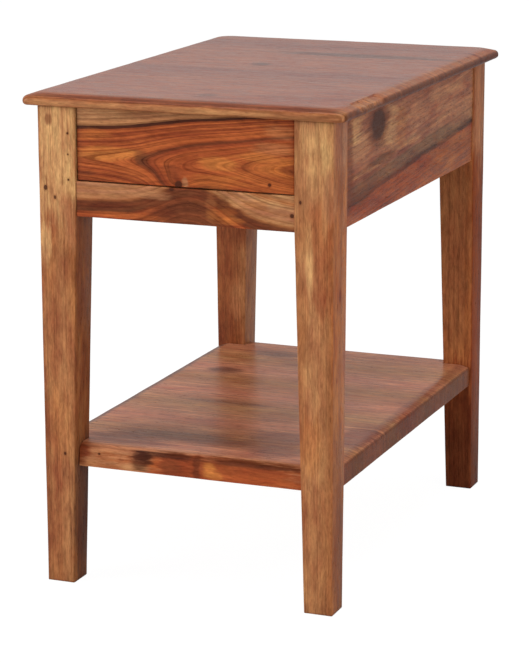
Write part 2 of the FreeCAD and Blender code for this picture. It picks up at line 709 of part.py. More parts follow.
def make_drawer_back():
    body = start("drawer_back")
    thickness = size.drawer_side_thickness
    face = outline(body, "drawer_back_face", "XZ_Plane",
                   rectangle(ZERO, ZERO, drawer_back_width, drawer_back_height))
    pad(body, "drawer_back_board", face, thickness)
    depth = size.nail_length - size.drawer_side_thickness + size.hole_end_gap
    centres = [(-thickness / 2, height + drawer_floor - drawer_panel_top) for height in nail_heights()]
    marks = circles(body, "drawer_back_left_marks", "YZ_Plane", centres, nail_hole)
    drill(body, "drawer_back_left_holes", marks, nail_hole, depth, along_normal=True)
    marks = circles(body, "drawer_back_right_marks", "YZ_Plane", centres, nail_hole,
                    offset=drawer_back_width)
    drill(body, "drawer_back_right_holes", marks, nail_hole, depth)
    marks = circles(body, "drawer_back_pin_marks", "XY_Plane", [(x, -thickness / 2) for x in pin_places()],
                    nail_hole)
    drill(body, "drawer_back_pin_holes", marks, nail_hole,
          size.pin_length - size.drawer_bottom_thickness + size.hole_end_gap, along_normal=True)
    stop_mark = (drawer_back_width / 2, stop_screw_height - drawer_panel_top)
    marks = circles(body, "drawer_back_stop_mark", "XZ_Plane", [stop_mark], screw_hole, offset=thickness)
    drill(body, "drawer_back_stop_hole", marks, screw_hole,
          size.stop_screw_length - size.drawer_stop_thickness + size.hole_end_gap)
    place(body, -drawer_side_inner, drawer_end, drawer_panel_top)


def make_drawer_bottom():
    body = start("drawer_bottom")
    width = drawer_back_width + size.drawer_groove_depth * 2
    length = drawer_end - drawer_front_back + size.drawer_groove_depth
    plan = rectangle(ZERO, ZERO, width, length)
    # Only the front edge between the drawer sides enters the front's groove
    pad(body, "drawer_bottom_panel", outline(body, "drawer_bottom_plan", "XY_Plane", plan),
        size.drawer_bottom_thickness)
    for end, low, high in (("left", -size.overrun, size.drawer_groove_depth),
                           ("right", width - size.drawer_groove_depth, width + size.overrun)):
        corners = rectangle(low, -size.overrun, high, size.drawer_groove_depth)
        mark = outline(body, f"drawer_bottom_{end}_outline", "XY_Plane", corners)
        pocket(body, f"drawer_bottom_{end}_corner", mark, size.drawer_bottom_thickness, along_normal=True)
    behind = length - size.drawer_side_thickness / 2
    marks = circles(body, "drawer_bottom_marks", "XY_Plane",
                    [(size.drawer_groove_depth + x, behind) for x in pin_places()], nail_hole)
    pocket(body, "drawer_bottom_holes", marks, size.drawer_bottom_thickness, along_normal=True)
    place(body, -width / 2, drawer_front_back - size.drawer_groove_depth, drawer_panel_bottom)


def make_drawer_stop():
    """Turn button on the drawer back: upright, it meets the rail over the drawer when the drawer is out."""
    body = start("drawer_stop")
    face = outline(body, "drawer_stop_face", "XZ_Plane",
                   rectangle(ZERO, ZERO, size.drawer_stop_width, stop_length))
    blank = pad(body, "drawer_stop_blank", face, size.drawer_stop_thickness)
    round_edges(body, "drawer_stop_ends", blank, size.drawer_stop_width * STOP_ROUNDING_SHARE, runs_along_y)
    centre = [(size.drawer_stop_width / 2, stop_length * STOP_SCREW_SHARE)]
    marks = circles(body, "drawer_stop_mark", "XZ_Plane", centre, screw_hole,
                    offset=size.drawer_stop_thickness)
    drill(body, "drawer_stop_hole", marks, screw_hole, size.drawer_stop_thickness, screw_head_hole)
    place(body, -size.drawer_stop_width / 2, drawer_back_face, stop_bottom)


# Shelf: one board, notched round the legs

def make_shelf():
    body = start("lower_shelf")
    width = size.frame_width - size.shelf_side_setback * 2
    length = size.frame_depth - size.shelf_end_setback * 2
    notch_x = leg_at_shelf_top + size.shelf_notch_clearance - size.shelf_side_setback
    notch_y = leg_at_shelf_top + size.shelf_notch_clearance - size.shelf_end_setback
    far_x = width - notch_x
    far_y = length - notch_y
    plan = [
        (notch_x, ZERO), (far_x, ZERO), (far_x, notch_y), (width, notch_y),
        (width, far_y), (far_x, far_y), (far_x, length), (notch_x, length),
        (notch_x, far_y), (ZERO, far_y), (ZERO, notch_y), (notch_x, notch_y),
    ]
    board = pad(body, "shelf_board", outline(body, "shelf_plan", "XY_Plane", plan), size.shelf_thickness)

    def is_worn(first, second):
        """An upper edge on one of the board's four long sides, not in a notch."""
        on_top = min(first.z, second.z) > size.shelf_thickness.value / 2
        return on_top and (second - first).Length > max(notch_x.value, notch_y.value) * 2

    round_edges(body, "shelf_soft_edges", board, size.shelf_edge_radius, is_worn)
    depth = size.dowel_length - size.dowel_in_leg + size.hole_end_gap
    ends = [offset - size.shelf_end_setback for offset in dowel_offsets()]
    centres = [(y, size.shelf_thickness / 2) for y in ends + [length - y for y in ends]]
    for name, offset, forward in (("left", notch_x, True), ("right", far_x, False)):
        marks = circles(body, f"shelf_{name}_marks", "YZ_Plane", centres, dowel_hole, offset=offset)
        pocket(body, f"shelf_{name}_bores", marks, depth, along_normal=forward)
    place(body, -width / 2, -length / 2, size.shelf_height)


# Fasteners: each kind is a group of separate solids, turned to shape and set where the holes are

def turned(profile):
    """A solid of revolution about Z from (radius, height) points."""
    points = [FreeCAD.Vector(radius, 0, height) for radius, height in profile]
    face = Part.Face(Part.makePolygon(points + points[:1]))
    return face.revolve(FreeCAD.Vector(0, 0, 0), FreeCAD.Vector(0, 0, 1), 360)


def screw(length):
    """A countersunk wood screw, its head's face on the origin and its point up the Z axis."""
    shank = size.screw_diameter.value / 2
    head = size.screw_head_diameter.value / 2
    end = length.value
    tip = end - size.screw_tip_length.value
    return turned([(0, 0), (head, 0), (shank, head - shank), (shank, tip), (0, end)])


def nail(length):
    """A round headless nail, its blunt end on the origin and its point up the Z axis."""
    shank = size.nail_diameter.value / 2
    return turned([(0, 0), (shank, 0), (shank, length.value - shank * 2), (0, length.value)])


def dowel():
    radius = size.dowel_diameter.value / 2
    return Part.makeCylinder(radius, size.dowel_length.value)


def group(label, solid, places):
    """One node of like fasteners. Each place is a point and the way its Z axis turns to."""
    copies = []
    for point, way in places:
        spot = FreeCAD.Vector(*(length.value for length in point))
        turn = FreeCAD.Rotation(FreeCAD.Vector(0, 0, 1), FreeCAD.Vector(*way))
        copy = solid.copy()
        copy.Placement = FreeCAD.Placement(spot, turn)
        copies.append(copy)
    feature = doc.addObject("Part::Feature", label)
    feature.Label = label
    feature.Shape = Part.makeCompound(copies)
    kept.append(feature)


UP = (0, 0, 1)
TO_LEFT = (-1, 0, 0)
TO_RIGHT = (1, 0, 0)
TO_BACK = (0, 1, 0)


def make_fasteners():
    kicker_places = [((x, y, kicker_bottom), UP) for x, y in screw_places_under_top()]
    group("kicker_screws", screw(size.kicker_screw_length), kicker_places)
    rail_places = [((x, y, top_rail_bottom), UP) for x, y in screw_places_in_top_rail()]
    group("top_rail_screws", screw(size.top_rail_screw_length), rail_places)
    guide_places = []
    runner_places = []
    guide_middle = runner_top + size.guide_height / 2
    for side, way in ((-1, TO_LEFT), (1, TO_RIGHT)):
        for share in GUIDE_SCREW_SHARES:
            along = space_along * share - leg_inner_y
            guide_places.append(((leg_inner_x * side, along, guide_middle), way))
        for share in RUNNER_SCREW_SHARES:
            along = space_along * share - leg_inner_y
            runner_places.append((((leg_inner_x + guide_width / 2) * side, along, runner_bottom), UP))
    group("guide_screws", screw(size.guide_screw_length), guide_places)
    group("runner_screws", screw(size.runner_screw_length), runner_places)
    stop_spot = (ZERO, drawer_back_face - size.drawer_stop_thickness, stop_screw_height)
    group("drawer_stop_screw", screw(size.stop_screw_length), [(stop_spot, TO_BACK)])
    nail_places = []
    rebate_middle = drawer_side_front + size.drawer_rebate_depth / 2
    back_middle = drawer_end - size.drawer_side_thickness / 2
    for side, way in ((-1, TO_RIGHT), (1, TO_LEFT)):
        for y in (rebate_middle, back_middle):
            for height in nail_heights():
                nail_places.append(((drawer_half_width * side, y, drawer_floor + height), way))
    group("drawer_nails", nail(size.nail_length), nail_places)
    pin_spots = [((x - drawer_side_inner, back_middle, drawer_panel_bottom), UP) for x in pin_places()]
    group("drawer_bottom_nails", nail(size.pin_length), pin_spots)
    dowel_places = []
    reach = half_width - leg_at_dowels + size.dowel_in_leg
    shelf_middle = size.shelf_height + size.shelf_thickness / 2
    for side, way in ((-1, TO_RIGHT), (1, TO_LEFT)):
        for end in (-1, 1):
            for offset in dowel_offsets():
                dowel_places.append(((reach * side, (half_depth - offset) * end, shelf_middle), way))
    group("shelf_dowels", dowel(), dowel_places)


make_top()
make_legs()
make_aprons()
make_front_rail()
make_top_rail()
make_runners()
make_guides()
make_kickers()
make_drawer_front()
make_drawer_sides()
make_drawer_back()
make_drawer_bottom()
make_drawer_stop()
make_shelf()
make_fasteners()

doc.recompute()

# Every object has to be sound, and every cut has to remove wood, before anything is written
for item in doc.Objects:
    if "Invalid" in item.State or "Error" in item.State:
        raise RuntimeError(f"{item.Label} did not compute: {item.State}")
    if item.TypeId in ("PartDesign::Pocket", "PartDesign::Hole"):
        if item.Shape.Volume >= item.BaseFeature.Shape.Volume:
            raise RuntimeError(f"{item.Label} removes nothing")
for piece in kept:
    if piece.Shape.isNull() or not piece.Shape.isValid():
        raise RuntimeError(f"{piece.Label} has no valid shape")

os.makedirs("parts", exist_ok=True)
for piece in kept:
    piece.Shape.exportStep(f"parts/{piece.Label}.step")

travel = drawer_back_face - size.drawer_stop_thickness - top_rail_back
print(f"{len(kept)} nodes, drawer travel to its stop {travel.value:.1f} mm")
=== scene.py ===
import math

import bmesh
import bpy
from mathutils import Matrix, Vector


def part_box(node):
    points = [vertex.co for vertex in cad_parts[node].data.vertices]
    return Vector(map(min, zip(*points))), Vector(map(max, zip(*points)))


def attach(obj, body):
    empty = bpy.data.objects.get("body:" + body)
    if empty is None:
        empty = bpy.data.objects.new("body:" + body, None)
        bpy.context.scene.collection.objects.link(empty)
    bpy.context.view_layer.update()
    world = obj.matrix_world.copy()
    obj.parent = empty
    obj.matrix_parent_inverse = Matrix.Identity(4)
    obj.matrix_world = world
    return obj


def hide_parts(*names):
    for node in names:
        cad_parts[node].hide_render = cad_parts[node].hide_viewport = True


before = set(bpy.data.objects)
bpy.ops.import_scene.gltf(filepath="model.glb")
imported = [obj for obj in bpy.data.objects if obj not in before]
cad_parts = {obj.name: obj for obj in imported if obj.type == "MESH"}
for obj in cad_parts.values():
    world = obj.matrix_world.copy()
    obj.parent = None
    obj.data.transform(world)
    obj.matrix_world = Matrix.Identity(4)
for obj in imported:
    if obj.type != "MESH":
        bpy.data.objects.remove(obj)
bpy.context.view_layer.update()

MM = 0.001


# Colours, as sRGB values from 0 to 255

SAP = (210, 159, 105)
SAP_PINK = (172, 112, 78)
TAN = (176, 118, 76)
BISCUIT = (182, 128, 86)
HAZEL = (164, 106, 66)
YELLOW = (198, 120, 58)
AMBER = (188, 106, 50)
ORANGE = (174, 88, 44)
EMBER = (160, 76, 38)
CINNAMON = (158, 94, 54)
RUSSET = (134, 60, 31)
CHESTNUT = (118, 58, 32)
BARK = (106, 56, 32)
INNER_SIDE_SHADE = (128, 68, 30)
BRICK = (128, 56, 20)
OLIVE = (128, 86, 60)
UMBER = (70, 32, 18)
LOW_INNER_SIDE_SHADE = (84, 48, 32)
ROSE = (146, 84, 62)
HEATHER = (128, 72, 58)
# A lilac lighter than the wood, with painted light in it, for the shelf
LILAC_WITH_PAINTED_LIGHT = (204, 132, 102)
SHADE = (96, 56, 46)
VENEER = (190, 150, 102)
GLUE_LINE = (132, 96, 62)
BEECH = (205, 168, 122)
SEASONED = (168, 124, 84)
STEEL = (196, 194, 190)

# What red, green and blue are multiplied by at a line, a pore, an edge and so on

LATE_WOOD = (0.48, 0.36, 0.3)
OPEN_PORE = (0.5, 0.4, 0.34)
KNOT_RIM = (0.62, 0.5, 0.45)
END_GRAIN = (0.28, 0.17, 0.11)
# The rubbed edge lightens the arrises: partly wear, partly a painted highlight along them.
RUBBED_EDGE_AND_HIGHLIGHT = (1.5, 1.4, 1.3)

# How far red, green and blue go up and down with the clouds, and the dull steel as the shader reads it

CLOUD = (1.0, 1.7, 1.6)
DULL_STEEL = (0.35, 0.34, 0.33, 1)

# How fine the wood's unevenness is, in waves per metre along the grain and across it

SLOW_WANDER = (3.0, 18, 18)
QUICK_WANDER = (13, 75, 75)
BAND_BORDER = (16, 130, 130)
STAIN_BORDER = (24, 190, 190)
KNOT_BORDER = (200, 200, 200)
SWAY = (10, 28, 28)
BROKEN_LINE = (9, 60, 60)
COARSE_FIBRE = (40, 270, 270)
FINE_FIBRE = (130, 560, 560)
PORE = (80, 800, 800)
MOTTLE = (20, 70, 70)
EDGE_WEAR_AND_HIGHLIGHT = (40, 40, 40)

# Where the colour of an end, of a face and of the lacquer sets in and is full, in millimetres before it

END_START, END_FULL = 3.5, 0.5
FACE_START, FACE_FULL = 1.6, 0.6
SHEEN_START = 2

# How strong each effect is, as a share

QUICK_SHARE = 0.45
PORE_SHARE = 0.45
RIM_SHARE = 0.55
HEART_SHARE = 0.92
RUBBED_AND_HIGHLIGHT_SHARE = 0.2
STAIN_RAGGED = 1.9
KNOT_RAGGED = 0.4
BARE_LACQUER = 0.04

TONES_PER_RING = 0.45
SWAY_WIDTH = 14 * MM
WORN_AND_HIGHLIT_EDGE = 2.2 * MM
PORE_HEIGHT = 0.15 * MM


def linear(colour):
    """An sRGB colour as the shader reads it."""
    channels = []
    for channel in colour:
        share = channel / 255
        channels.append(share / 12.92 if share <= 0.04045 else ((share + 0.055) / 1.055) ** 2.4)
    return (*channels, 1.0)


# Node helpers

def add(tree, kind, inputs=None, **settings):
    """A shader node with its settings, and its inputs set to values or wired to sockets."""
    made = tree.nodes.new("ShaderNode" + kind)
    for name, value in settings.items():
        setattr(made, name, value)
    for key, value in (inputs or {}).items():
        if isinstance(value, bpy.types.NodeSocket):
            tree.links.new(value, made.inputs[key])
        else:
            made.inputs[key].default_value = value
    return made


def maths(tree, operation, first, second=0.0, third=0.0, clamp=False):
    made = add(tree, "Math", {0: first, 1: second, 2: third}, operation=operation, use_clamp=clamp)
    return made.outputs[0]


def vector(tree, operation, first, second=(0, 0, 0)):
    made = add(tree, "VectorMath", {0: first, 1: second}, operation=operation)
    return made.outputs["Value" if operation in ("LENGTH", "DOT_PRODUCT") else "Vector"]


def scaled(tree, colour, share):
    return add(tree, "VectorMath", {0: colour, "Scale": share}, operation="SCALE").outputs[0]


def centred(tree, value):
    """Noise about 0 instead of about a half."""
    return maths(tree, "SUBTRACT", value, 0.5)


def ease(tree, value, low, high, start=0.0, end=1.0):
    """A smooth step from start to end as the value goes from low to high."""
    inputs = {0: value, 1: low, 2: high, 3: start, 4: end}
    return add(tree, "MapRange", inputs, interpolation_type="SMOOTHSTEP").outputs[0]


def noise(tree, place, scale, detail=2.0, roughness=0.5, seed=0.0):
    """Soft noise, its grain stretched by a scale along each axis."""
    stretched = vector(tree, "MULTIPLY", place, scale)
    inputs = {"Vector": stretched, "W": seed, "Scale": 1.0, "Detail": detail, "Roughness": roughness}
    return add(tree, "TexNoise", inputs, noise_dimensions="4D").outputs["Fac"]


def ring_noise(tree, ring, detail):
    """Noise that only changes from ring to ring."""
    inputs = {"W": ring, "Scale": 1.0, "Detail": detail}
    return add(tree, "TexNoise", inputs, noise_dimensions="1D").outputs["Fac"]


def blend(tree, share, first, second):
    return add(tree, "Mix", {0: share, 6: first, 7: second}, data_type="RGBA").outputs[2]


def tinted(tree, share, colour, tint):
    """A colour that a tint multiplies, as far as a share says."""
    return blend(tree, share, colour, vector(tree, "MULTIPLY", colour, tint))


def group(name, inputs, outputs, build):
    """A node group: build gets its tree and input sockets, and gives its output sockets in order."""
    tree = bpy.data.node_groups.new(name, "ShaderNodeTree")
    for label, kind in inputs:
        tree.interface.new_socket(name=label, in_out="INPUT", socket_type="NodeSocket" + kind)
    for label, kind in outputs:
        tree.interface.new_socket(name=label, in_out="OUTPUT", socket_type="NodeSocket" + kind)
    enters = tree.nodes.new("NodeGroupInput")
    leaves = tree.nodes.new("NodeGroupOutput")
    made = build(tree, {label: enters.outputs[label] for label, _ in inputs})
    for (label, _), socket in zip(outputs, made):
        tree.links.new(socket, leaves.inputs[label])
    return tree


def use(tree, shared, inputs):
    """One use of a node group in a material."""
    return add(tree, "Group", inputs, node_tree=shared).outputs


def new_material(name):
    made = bpy.data.materials.new(name)
    made.use_nodes = True
    made.node_tree.nodes.clear()
    return made, made.node_tree


# How the wood grew. Places are in a board's own axes: x along the grain, y and z across it, in metres.

def build_rings(tree, given):
    """Distance from the pith, which drifts sideways along the board, less what the trunk tapers."""
    place = given["Place"]
    along = add(tree, "SeparateXYZ", {0: place}).outputs[0]
    drift = scaled(tree, given["Drift"], along)
    from_pith = vector(tree, "SUBTRACT", vector(tree, "SUBTRACT", place, given["Pith"]), drift)
    across = vector(tree, "MULTIPLY", from_pith, (0, 1, 1))
    slow = noise(tree, place, SLOW_WANDER, 1.0, seed=given["Seed"])
    quick = noise(tree, place, QUICK_WANDER, 2.0, seed=given["Seed"])
    wander = maths(tree, "MULTIPLY_ADD", centred(tree, quick), QUICK_SHARE, centred(tree, slow))
    ring = maths(tree, "MULTIPLY_ADD", wander, given["Wander"], vector(tree, "LENGTH", across))
    return [maths(tree, "SUBTRACT", ring, maths(tree, "MULTIPLY", along, given["Taper"]))]


def how_far(tree, given):
    """Distance from a centre, as a share of the reach along each axis."""
    away = vector(tree, "SUBTRACT", given["Place"], given["Centre"])
    return vector(tree, "LENGTH", vector(tree, "DIVIDE", away, given["Reach"]))


def build_swell(tree, given):
    """A soft rise in the rings round one place, as where a branch began."""
    far = how_far(tree, given)
    fall = maths(tree, "EXPONENT", maths(tree, "MULTIPLY", maths(tree, "MULTIPLY", far, far), -1.0))
    return [maths(tree, "MULTIPLY_ADD", fall, given["Height"], given["Ring"])]


def build_stain(tree, given):
    """A patch of another colour with an uneven border, drawn out along the grain."""
    ragged = centred(tree, noise(tree, given["Place"], STAIN_BORDER, 5.0, 0.65))
    far = maths(tree, "MULTIPLY_ADD", ragged, STAIN_RAGGED, how_far(tree, given))
    return [ease(tree, far, 0.55, 1.3, 1.0, 0.0)]


def build_knot(tree, given):
    """A knot: its dark heart, and the ring of crowded grain round it."""
    rough = noise(tree, given["Place"], KNOT_BORDER, 2.0)
    far = maths(tree, "MULTIPLY_ADD", rough, KNOT_RAGGED, how_far(tree, given))
    heart = ease(tree, far, 1.0, 1.4, 1.0, 0.0)
    rim = maths(tree, "SUBTRACT", ease(tree, far, 1.3, 2.2, 1.0, 0.0), heart, clamp=True)
    return [maths(tree, "MAXIMUM", heart, given["Heart"]), maths(tree, "MAXIMUM", rim, given["Rim"])]


def build_grain(tree, given):
    """A planed face: late wood lines, broad tones, streaks of fibre, open pores and mottle."""
    seed = given["Seed"]
    sway = centred(tree, noise(tree, given["Place"], SWAY, 2.0, seed=seed))
    sway = maths(tree, "MULTIPLY", sway, SWAY_WIDTH)
    place = vector(tree, "ADD", given["Place"], add(tree, "CombineXYZ", {"Y": sway, "Z": sway}).outputs[0])
    ring = maths(tree, "DIVIDE", given["Ring"], given["Spacing"])
    tone = ring_noise(tree, maths(tree, "MULTIPLY_ADD", ring, TONES_PER_RING, seed), 2.0)
    line = ring_noise(tree, maths(tree, "MULTIPLY_ADD", seed, 3.7, ring), 1.0)
    broken = ease(tree, noise(tree, place, BROKEN_LINE, 2.0, seed=seed), 0.35, 0.6)
    whole = maths(tree, "MULTIPLY_ADD", broken, 0.7, 0.3)
    line = maths(tree, "MULTIPLY", ease(tree, line, 0.5, 0.68), whole)
    coarse = noise(tree, place, COARSE_FIBRE, 2.0, 0.6, seed)
    fleck = noise(tree, place, FINE_FIBRE, 3.0, 0.7, seed)
    streak = maths(tree, "MULTIPLY", maths(tree, "ADD", coarse, fleck), 0.5)
    pores = ease(tree, noise(tree, place, PORE, 2.0, 0.5, seed), 0.58, 0.68)
    mottle = centred(tree, noise(tree, place, MOTTLE, 4.0, 0.6, seed))
    return [ease(tree, tone, 0.3, 0.7), line, ease(tree, streak, 0.36, 0.64), pores, mottle]


def build_wear_and_highlight(tree, given):
    """Near an edge of a square board, for rubbed wear and a painted highlight: 1 on the arris, falling to
    0 at a width from it.
    """
    low = vector(tree, "SUBTRACT", given["Place"], given["Low"])
    high = vector(tree, "SUBTRACT", given["High"], given["Place"])
    near = add(tree, "SeparateXYZ", {0: vector(tree, "MINIMUM", low, high)}).outputs
    smaller = maths(tree, "MINIMUM", near[0], near[1])
    larger = maths(tree, "MAXIMUM", near[0], near[1])
    middle = maths(tree, "MAXIMUM", smaller, maths(tree, "MINIMUM", larger, near[2]))
    uneven = noise(tree, given["Place"], EDGE_WEAR_AND_HIGHLIGHT, 2.0)
    width = maths(tree, "MULTIPLY", given["Width"], maths(tree, "ADD", uneven, 0.5))
    return [maths(tree, "SUBTRACT", 1.0, maths(tree, "DIVIDE", middle, width), clamp=True)]


def build_dye(tree, given):
    """Lays the grain over a ground colour, and gives the height and roughness of the lacquer on it."""
    tint = maths(tree, "MULTIPLY_ADD", centred(tree, given["Tone"]), given["Contrast"], 1.0)
    cloud = scaled(tree, CLOUD, maths(tree, "MULTIPLY", given["Mottle"], given["Clouds"]))
    colour = scaled(tree, given["Ground"], tint)
    colour = vector(tree, "MULTIPLY", colour, vector(tree, "ADD", cloud, (1, 1, 1)))
    colour = tinted(tree, maths(tree, "MULTIPLY", given["Line"], given["Lines"]), colour, LATE_WOOD)
    streak = maths(tree, "MULTIPLY_ADD", centred(tree, given["Streak"]), given["Fibre"], 1.0)
    colour = scaled(tree, colour, streak)
    colour = tinted(tree, maths(tree, "MULTIPLY", given["Pores"], PORE_SHARE), colour, OPEN_PORE)
    height = maths(tree, "SUBTRACT", given["Streak"], given["Pores"])
    dull = maths(tree, "MULTIPLY_ADD", given["Pores"], 0.2, 0.26)
    return [colour, height, maths(tree, "MULTIPLY_ADD", given["Streak"], 0.2, dull)]


def sockets(kind, *labels):
    return [(label, kind) for label in labels]


RINGS = group("growth_rings",
              sockets("Vector", "Place", "Pith", "Drift") + sockets("Float", "Taper", "Wander", "Seed"),
              sockets("Float", "Ring"), build_rings)
SWELL = group("grain_swell",
              sockets("Vector", "Place", "Centre", "Reach") + sockets("Float", "Ring", "Height"),
              sockets("Float", "Ring"), build_swell)
STAIN = group("grown_stain", sockets("Vector", "Place", "Centre", "Reach"),
              sockets("Float", "Mask"), build_stain)
KNOT = group("knot", sockets("Vector", "Place", "Centre", "Reach") + sockets("Float", "Heart", "Rim"),
             sockets("Float", "Heart", "Rim"), build_knot)
GRAIN = group("planed_grain", sockets("Vector", "Place") + sockets("Float", "Ring", "Spacing", "Seed"),
              sockets("Float", "Tone", "Line", "Streak", "Pores", "Mottle"), build_grain)
WEAR_AND_HIGHLIGHT = group("worn_and_highlit_edges", sockets("Vector", "Place", "Low", "High") + sockets("Float", "Width"),
             sockets("Float", "Edge"), build_wear_and_highlight)
DYE = group("oiled_grain",
            sockets("Color", "Ground")
            + sockets("Float", "Tone", "Line", "Streak", "Pores", "Mottle")
            + sockets("Float", "Clouds", "Contrast", "Lines", "Fibre"),
            sockets("Color", "Color") + sockets("Float", "Height", "Roughness"), build_dye)


def ring_colours(tree, ring, bands):
    """The ground colour of each ring: bands are distances in millimetres with their colours."""
    low, high = bands[0][0], bands[-1][0]
    share = add(tree, "MapRange", {0: ring, 1: low * MM, 2: high * MM, 3: 0.0, 4: 1.0}).outputs[0]
    made = add(tree, "ValToRGB", {0: share})
    ramp = made.color_ramp
    for distance, colour in bands[1:-1]:
        ramp.elements.new((distance - low) / (high - low)).color = linear(colour)
    ramp.elements[0].color = linear(bands[0][1])
    ramp.elements[-1].color = linear(bands[-1][1])
    return made.outputs[0]


def spot(place, centre, reach):
    """What sets a swell, a stain or a knot in its place on a board."""
    return {"Place": place, "Centre": Vector(centre) * MM, "Reach": Vector(reach) * MM}


def wood(node, along, bands, pith=(-400, 0), from_pith=False, drift=(0, 0), taper=0.0, wander=7, fray=7,
         spacing=2.2, contrast=0.4, lines=0.75, clouds=0.6, fibre=0.35, swells=(), faces=(), stains=(),
         knots=(), end_grain=0.5, seed=0.0, polish=0.1, lacquer=BARE_LACQUER, sheen_above=None):
    """The wood of one board. Its grain runs along the first axis of along; lengths are in millimetres.

    bands give the ground colour by ring, counted from the board's middle or from the pith. Swells, stains
    and knots stand at places measured from the middle, and their last values are a height or a colour and
    its strength. faces give one side another colour, by its direction and its distance from the middle.
    sheen_above keeps the lacquer to what lies above a height.
    """
    made, tree = new_material(node + "_wood")
    low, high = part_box(node)
    seen = add(tree, "TexCoord").outputs["Object"]
    parts = add(tree, "SeparateXYZ", {0: vector(tree, "SUBTRACT", seen, tuple((low + high) / 2))}).outputs
    turned = {key: parts["XYZ".index(axis)] for key, axis in zip("XYZ", along)}
    place = add(tree, "CombineXYZ", turned).outputs[0]
    ring = use(tree, RINGS, {"Place": place, "Pith": (0, pith[0] * MM, pith[1] * MM), "Drift": (0, *drift),
                             "Taper": taper, "Wander": wander * MM, "Seed": seed})["Ring"]
    for centre, reach, height in swells:
        given = {**spot(place, centre, reach), "Ring": ring, "Height": height * MM}
        ring = use(tree, SWELL, given)["Ring"]
    frayed = centred(tree, noise(tree, place, BAND_BORDER, 3.0, 0.6, seed))
    border = maths(tree, "MULTIPLY_ADD", frayed, fray * MM, ring)
    start = 0 if from_pith else math.hypot(*pith)
    ground = ring_colours(tree, border, [(distance + start, colour) for distance, colour in bands])
    for outward, distance, colour, strength in faces:
        depth = vector(tree, "DOT_PRODUCT", place, tuple(Vector(outward).normalized()))
        mask = ease(tree, depth, (distance - FACE_START) * MM, (distance - FACE_FULL) * MM, 0.0, strength)
        ground = blend(tree, mask, ground, linear(colour))
    for centre, reach, colour, strength in stains:
        mask = use(tree, STAIN, spot(place, centre, reach))["Mask"]
        ground = blend(tree, maths(tree, "MULTIPLY", mask, strength), ground, linear(colour))
    grain = use(tree, GRAIN, {"Place": place, "Ring": ring, "Spacing": spacing * MM, "Seed": seed})
    dye = use(tree, DYE, {"Ground": ground, **{socket.name: socket for socket in grain.values()},
                          "Clouds": clouds, "Contrast": contrast, "Lines": lines, "Fibre": fibre})
    colour = dye["Color"]
    heart, rim = 0.0, 0.0
    for centre, reach in knots:
        found = use(tree, KNOT, {**spot(place, centre, reach), "Heart": heart, "Rim": rim})
        heart, rim = found["Heart"], found["Rim"]
    if knots:
        colour = tinted(tree, maths(tree, "MULTIPLY", rim, RIM_SHARE), colour, KNOT_RIM)
        colour = blend(tree, maths(tree, "MULTIPLY", heart, HEART_SHARE), colour, linear(UMBER))
    half = (high - low)["XYZ".index(along[0])] / 2
    far = maths(tree, "ABSOLUTE", add(tree, "SeparateXYZ", {0: place}).outputs[0])
    ends = ease(tree, far, half - END_START * MM, half - END_FULL * MM, 0.0, end_grain)
    colour = tinted(tree, ends, colour, END_GRAIN)
    # Lighten the arrises: rubbed wear and a painted highlight along them.
    edge = use(tree, WEAR_AND_HIGHLIGHT, {"Place": seen, "Low": low, "High": high, "Width": WORN_AND_HIGHLIT_EDGE})["Edge"]
    colour = tinted(tree, maths(tree, "MULTIPLY", edge, RUBBED_AND_HIGHLIGHT_SHARE), colour, RUBBED_EDGE_AND_HIGHLIGHT)
    coat = lacquer
    if sheen_above is not None:
        low_sheen = (sheen_above - SHEEN_START) * MM
        coat = ease(tree, parts[2], low_sheen, sheen_above * MM, BARE_LACQUER, lacquer)
    bump = add(tree, "Bump", {"Strength": 0.35, "Distance": PORE_HEIGHT, "Height": dye["Height"]})
    shader = add(tree, "BsdfPrincipled", {
        "Base Color": colour, "Roughness": dye["Roughness"], "Normal": bump.outputs[0],
        "Specular IOR Level": polish, "Coat Weight": coat, "Coat Roughness": 0.25, "IOR": 1.5,
    })
    add(tree, "OutputMaterial", {"Surface": shader.outputs[0]})
    return made


def run_of_grain(node):
    """A board's axes, longest first."""
    low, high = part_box(node)
    size = high - low
    return "".join(sorted("XYZ", key=lambda axis: -size["XYZ".index(axis)]))


def screw_steel():
    """Bright steel, finely drawn and a little dulled."""
    made, tree = new_material("screw_steel")
    seen = add(tree, "TexCoord").outputs["Object"]
    drawn = noise(tree, seen, (300, 300, 1500), 3.0)
    dulled = noise(tree, seen, (90, 90, 90), 3.0)
    bump = add(tree, "Bump", {"Strength": 0.3, "Distance": 0.05 * MM, "Height": drawn})
    shader = add(tree, "BsdfPrincipled", {
        "Base Color": blend(tree, dulled, linear(STEEL), DULL_STEEL), "Metallic": 1.0,
        "Normal": bump.outputs[0], "Roughness": maths(tree, "MULTIPLY_ADD", dulled, 0.35, 0.2),
    })
    add(tree, "OutputMaterial", {"Surface": shader.outputs[0]})
    return made


def plywood(node):
    """Plywood: a pale veneer with its grain across the drawer, and the plies on its edges."""
    made = wood(node, "XYZ", ((-200, VENEER), (0, BEECH), (200, VENEER)), seed=13.1,
                contrast=0.15, lines=0.2, clouds=0.5, lacquer=0.0)
    tree = made.node_tree
    shader = tree.nodes["Principled BSDF"]
    face = shader.inputs["Base Color"].links[0].from_socket
    low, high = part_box(node)
    height = add(tree, "SeparateXYZ", {0: add(tree, "TexCoord").outputs["Object"]}).outputs["Z"]
    plies = maths(tree, "DIVIDE", maths(tree, "SUBTRACT", height, low.z), (high.z - low.z) / PLIES)
    second = maths(tree, "GREATER_THAN", maths(tree, "MODULO", plies, 2.0), 1.0)
    colour = blend(tree, maths(tree, "MULTIPLY", second, 0.7), face, linear(GLUE_LINE))
    tree.links.new(colour, shader.inputs["Base Color"])
    return made


# Joints and edges of the boards, in metres

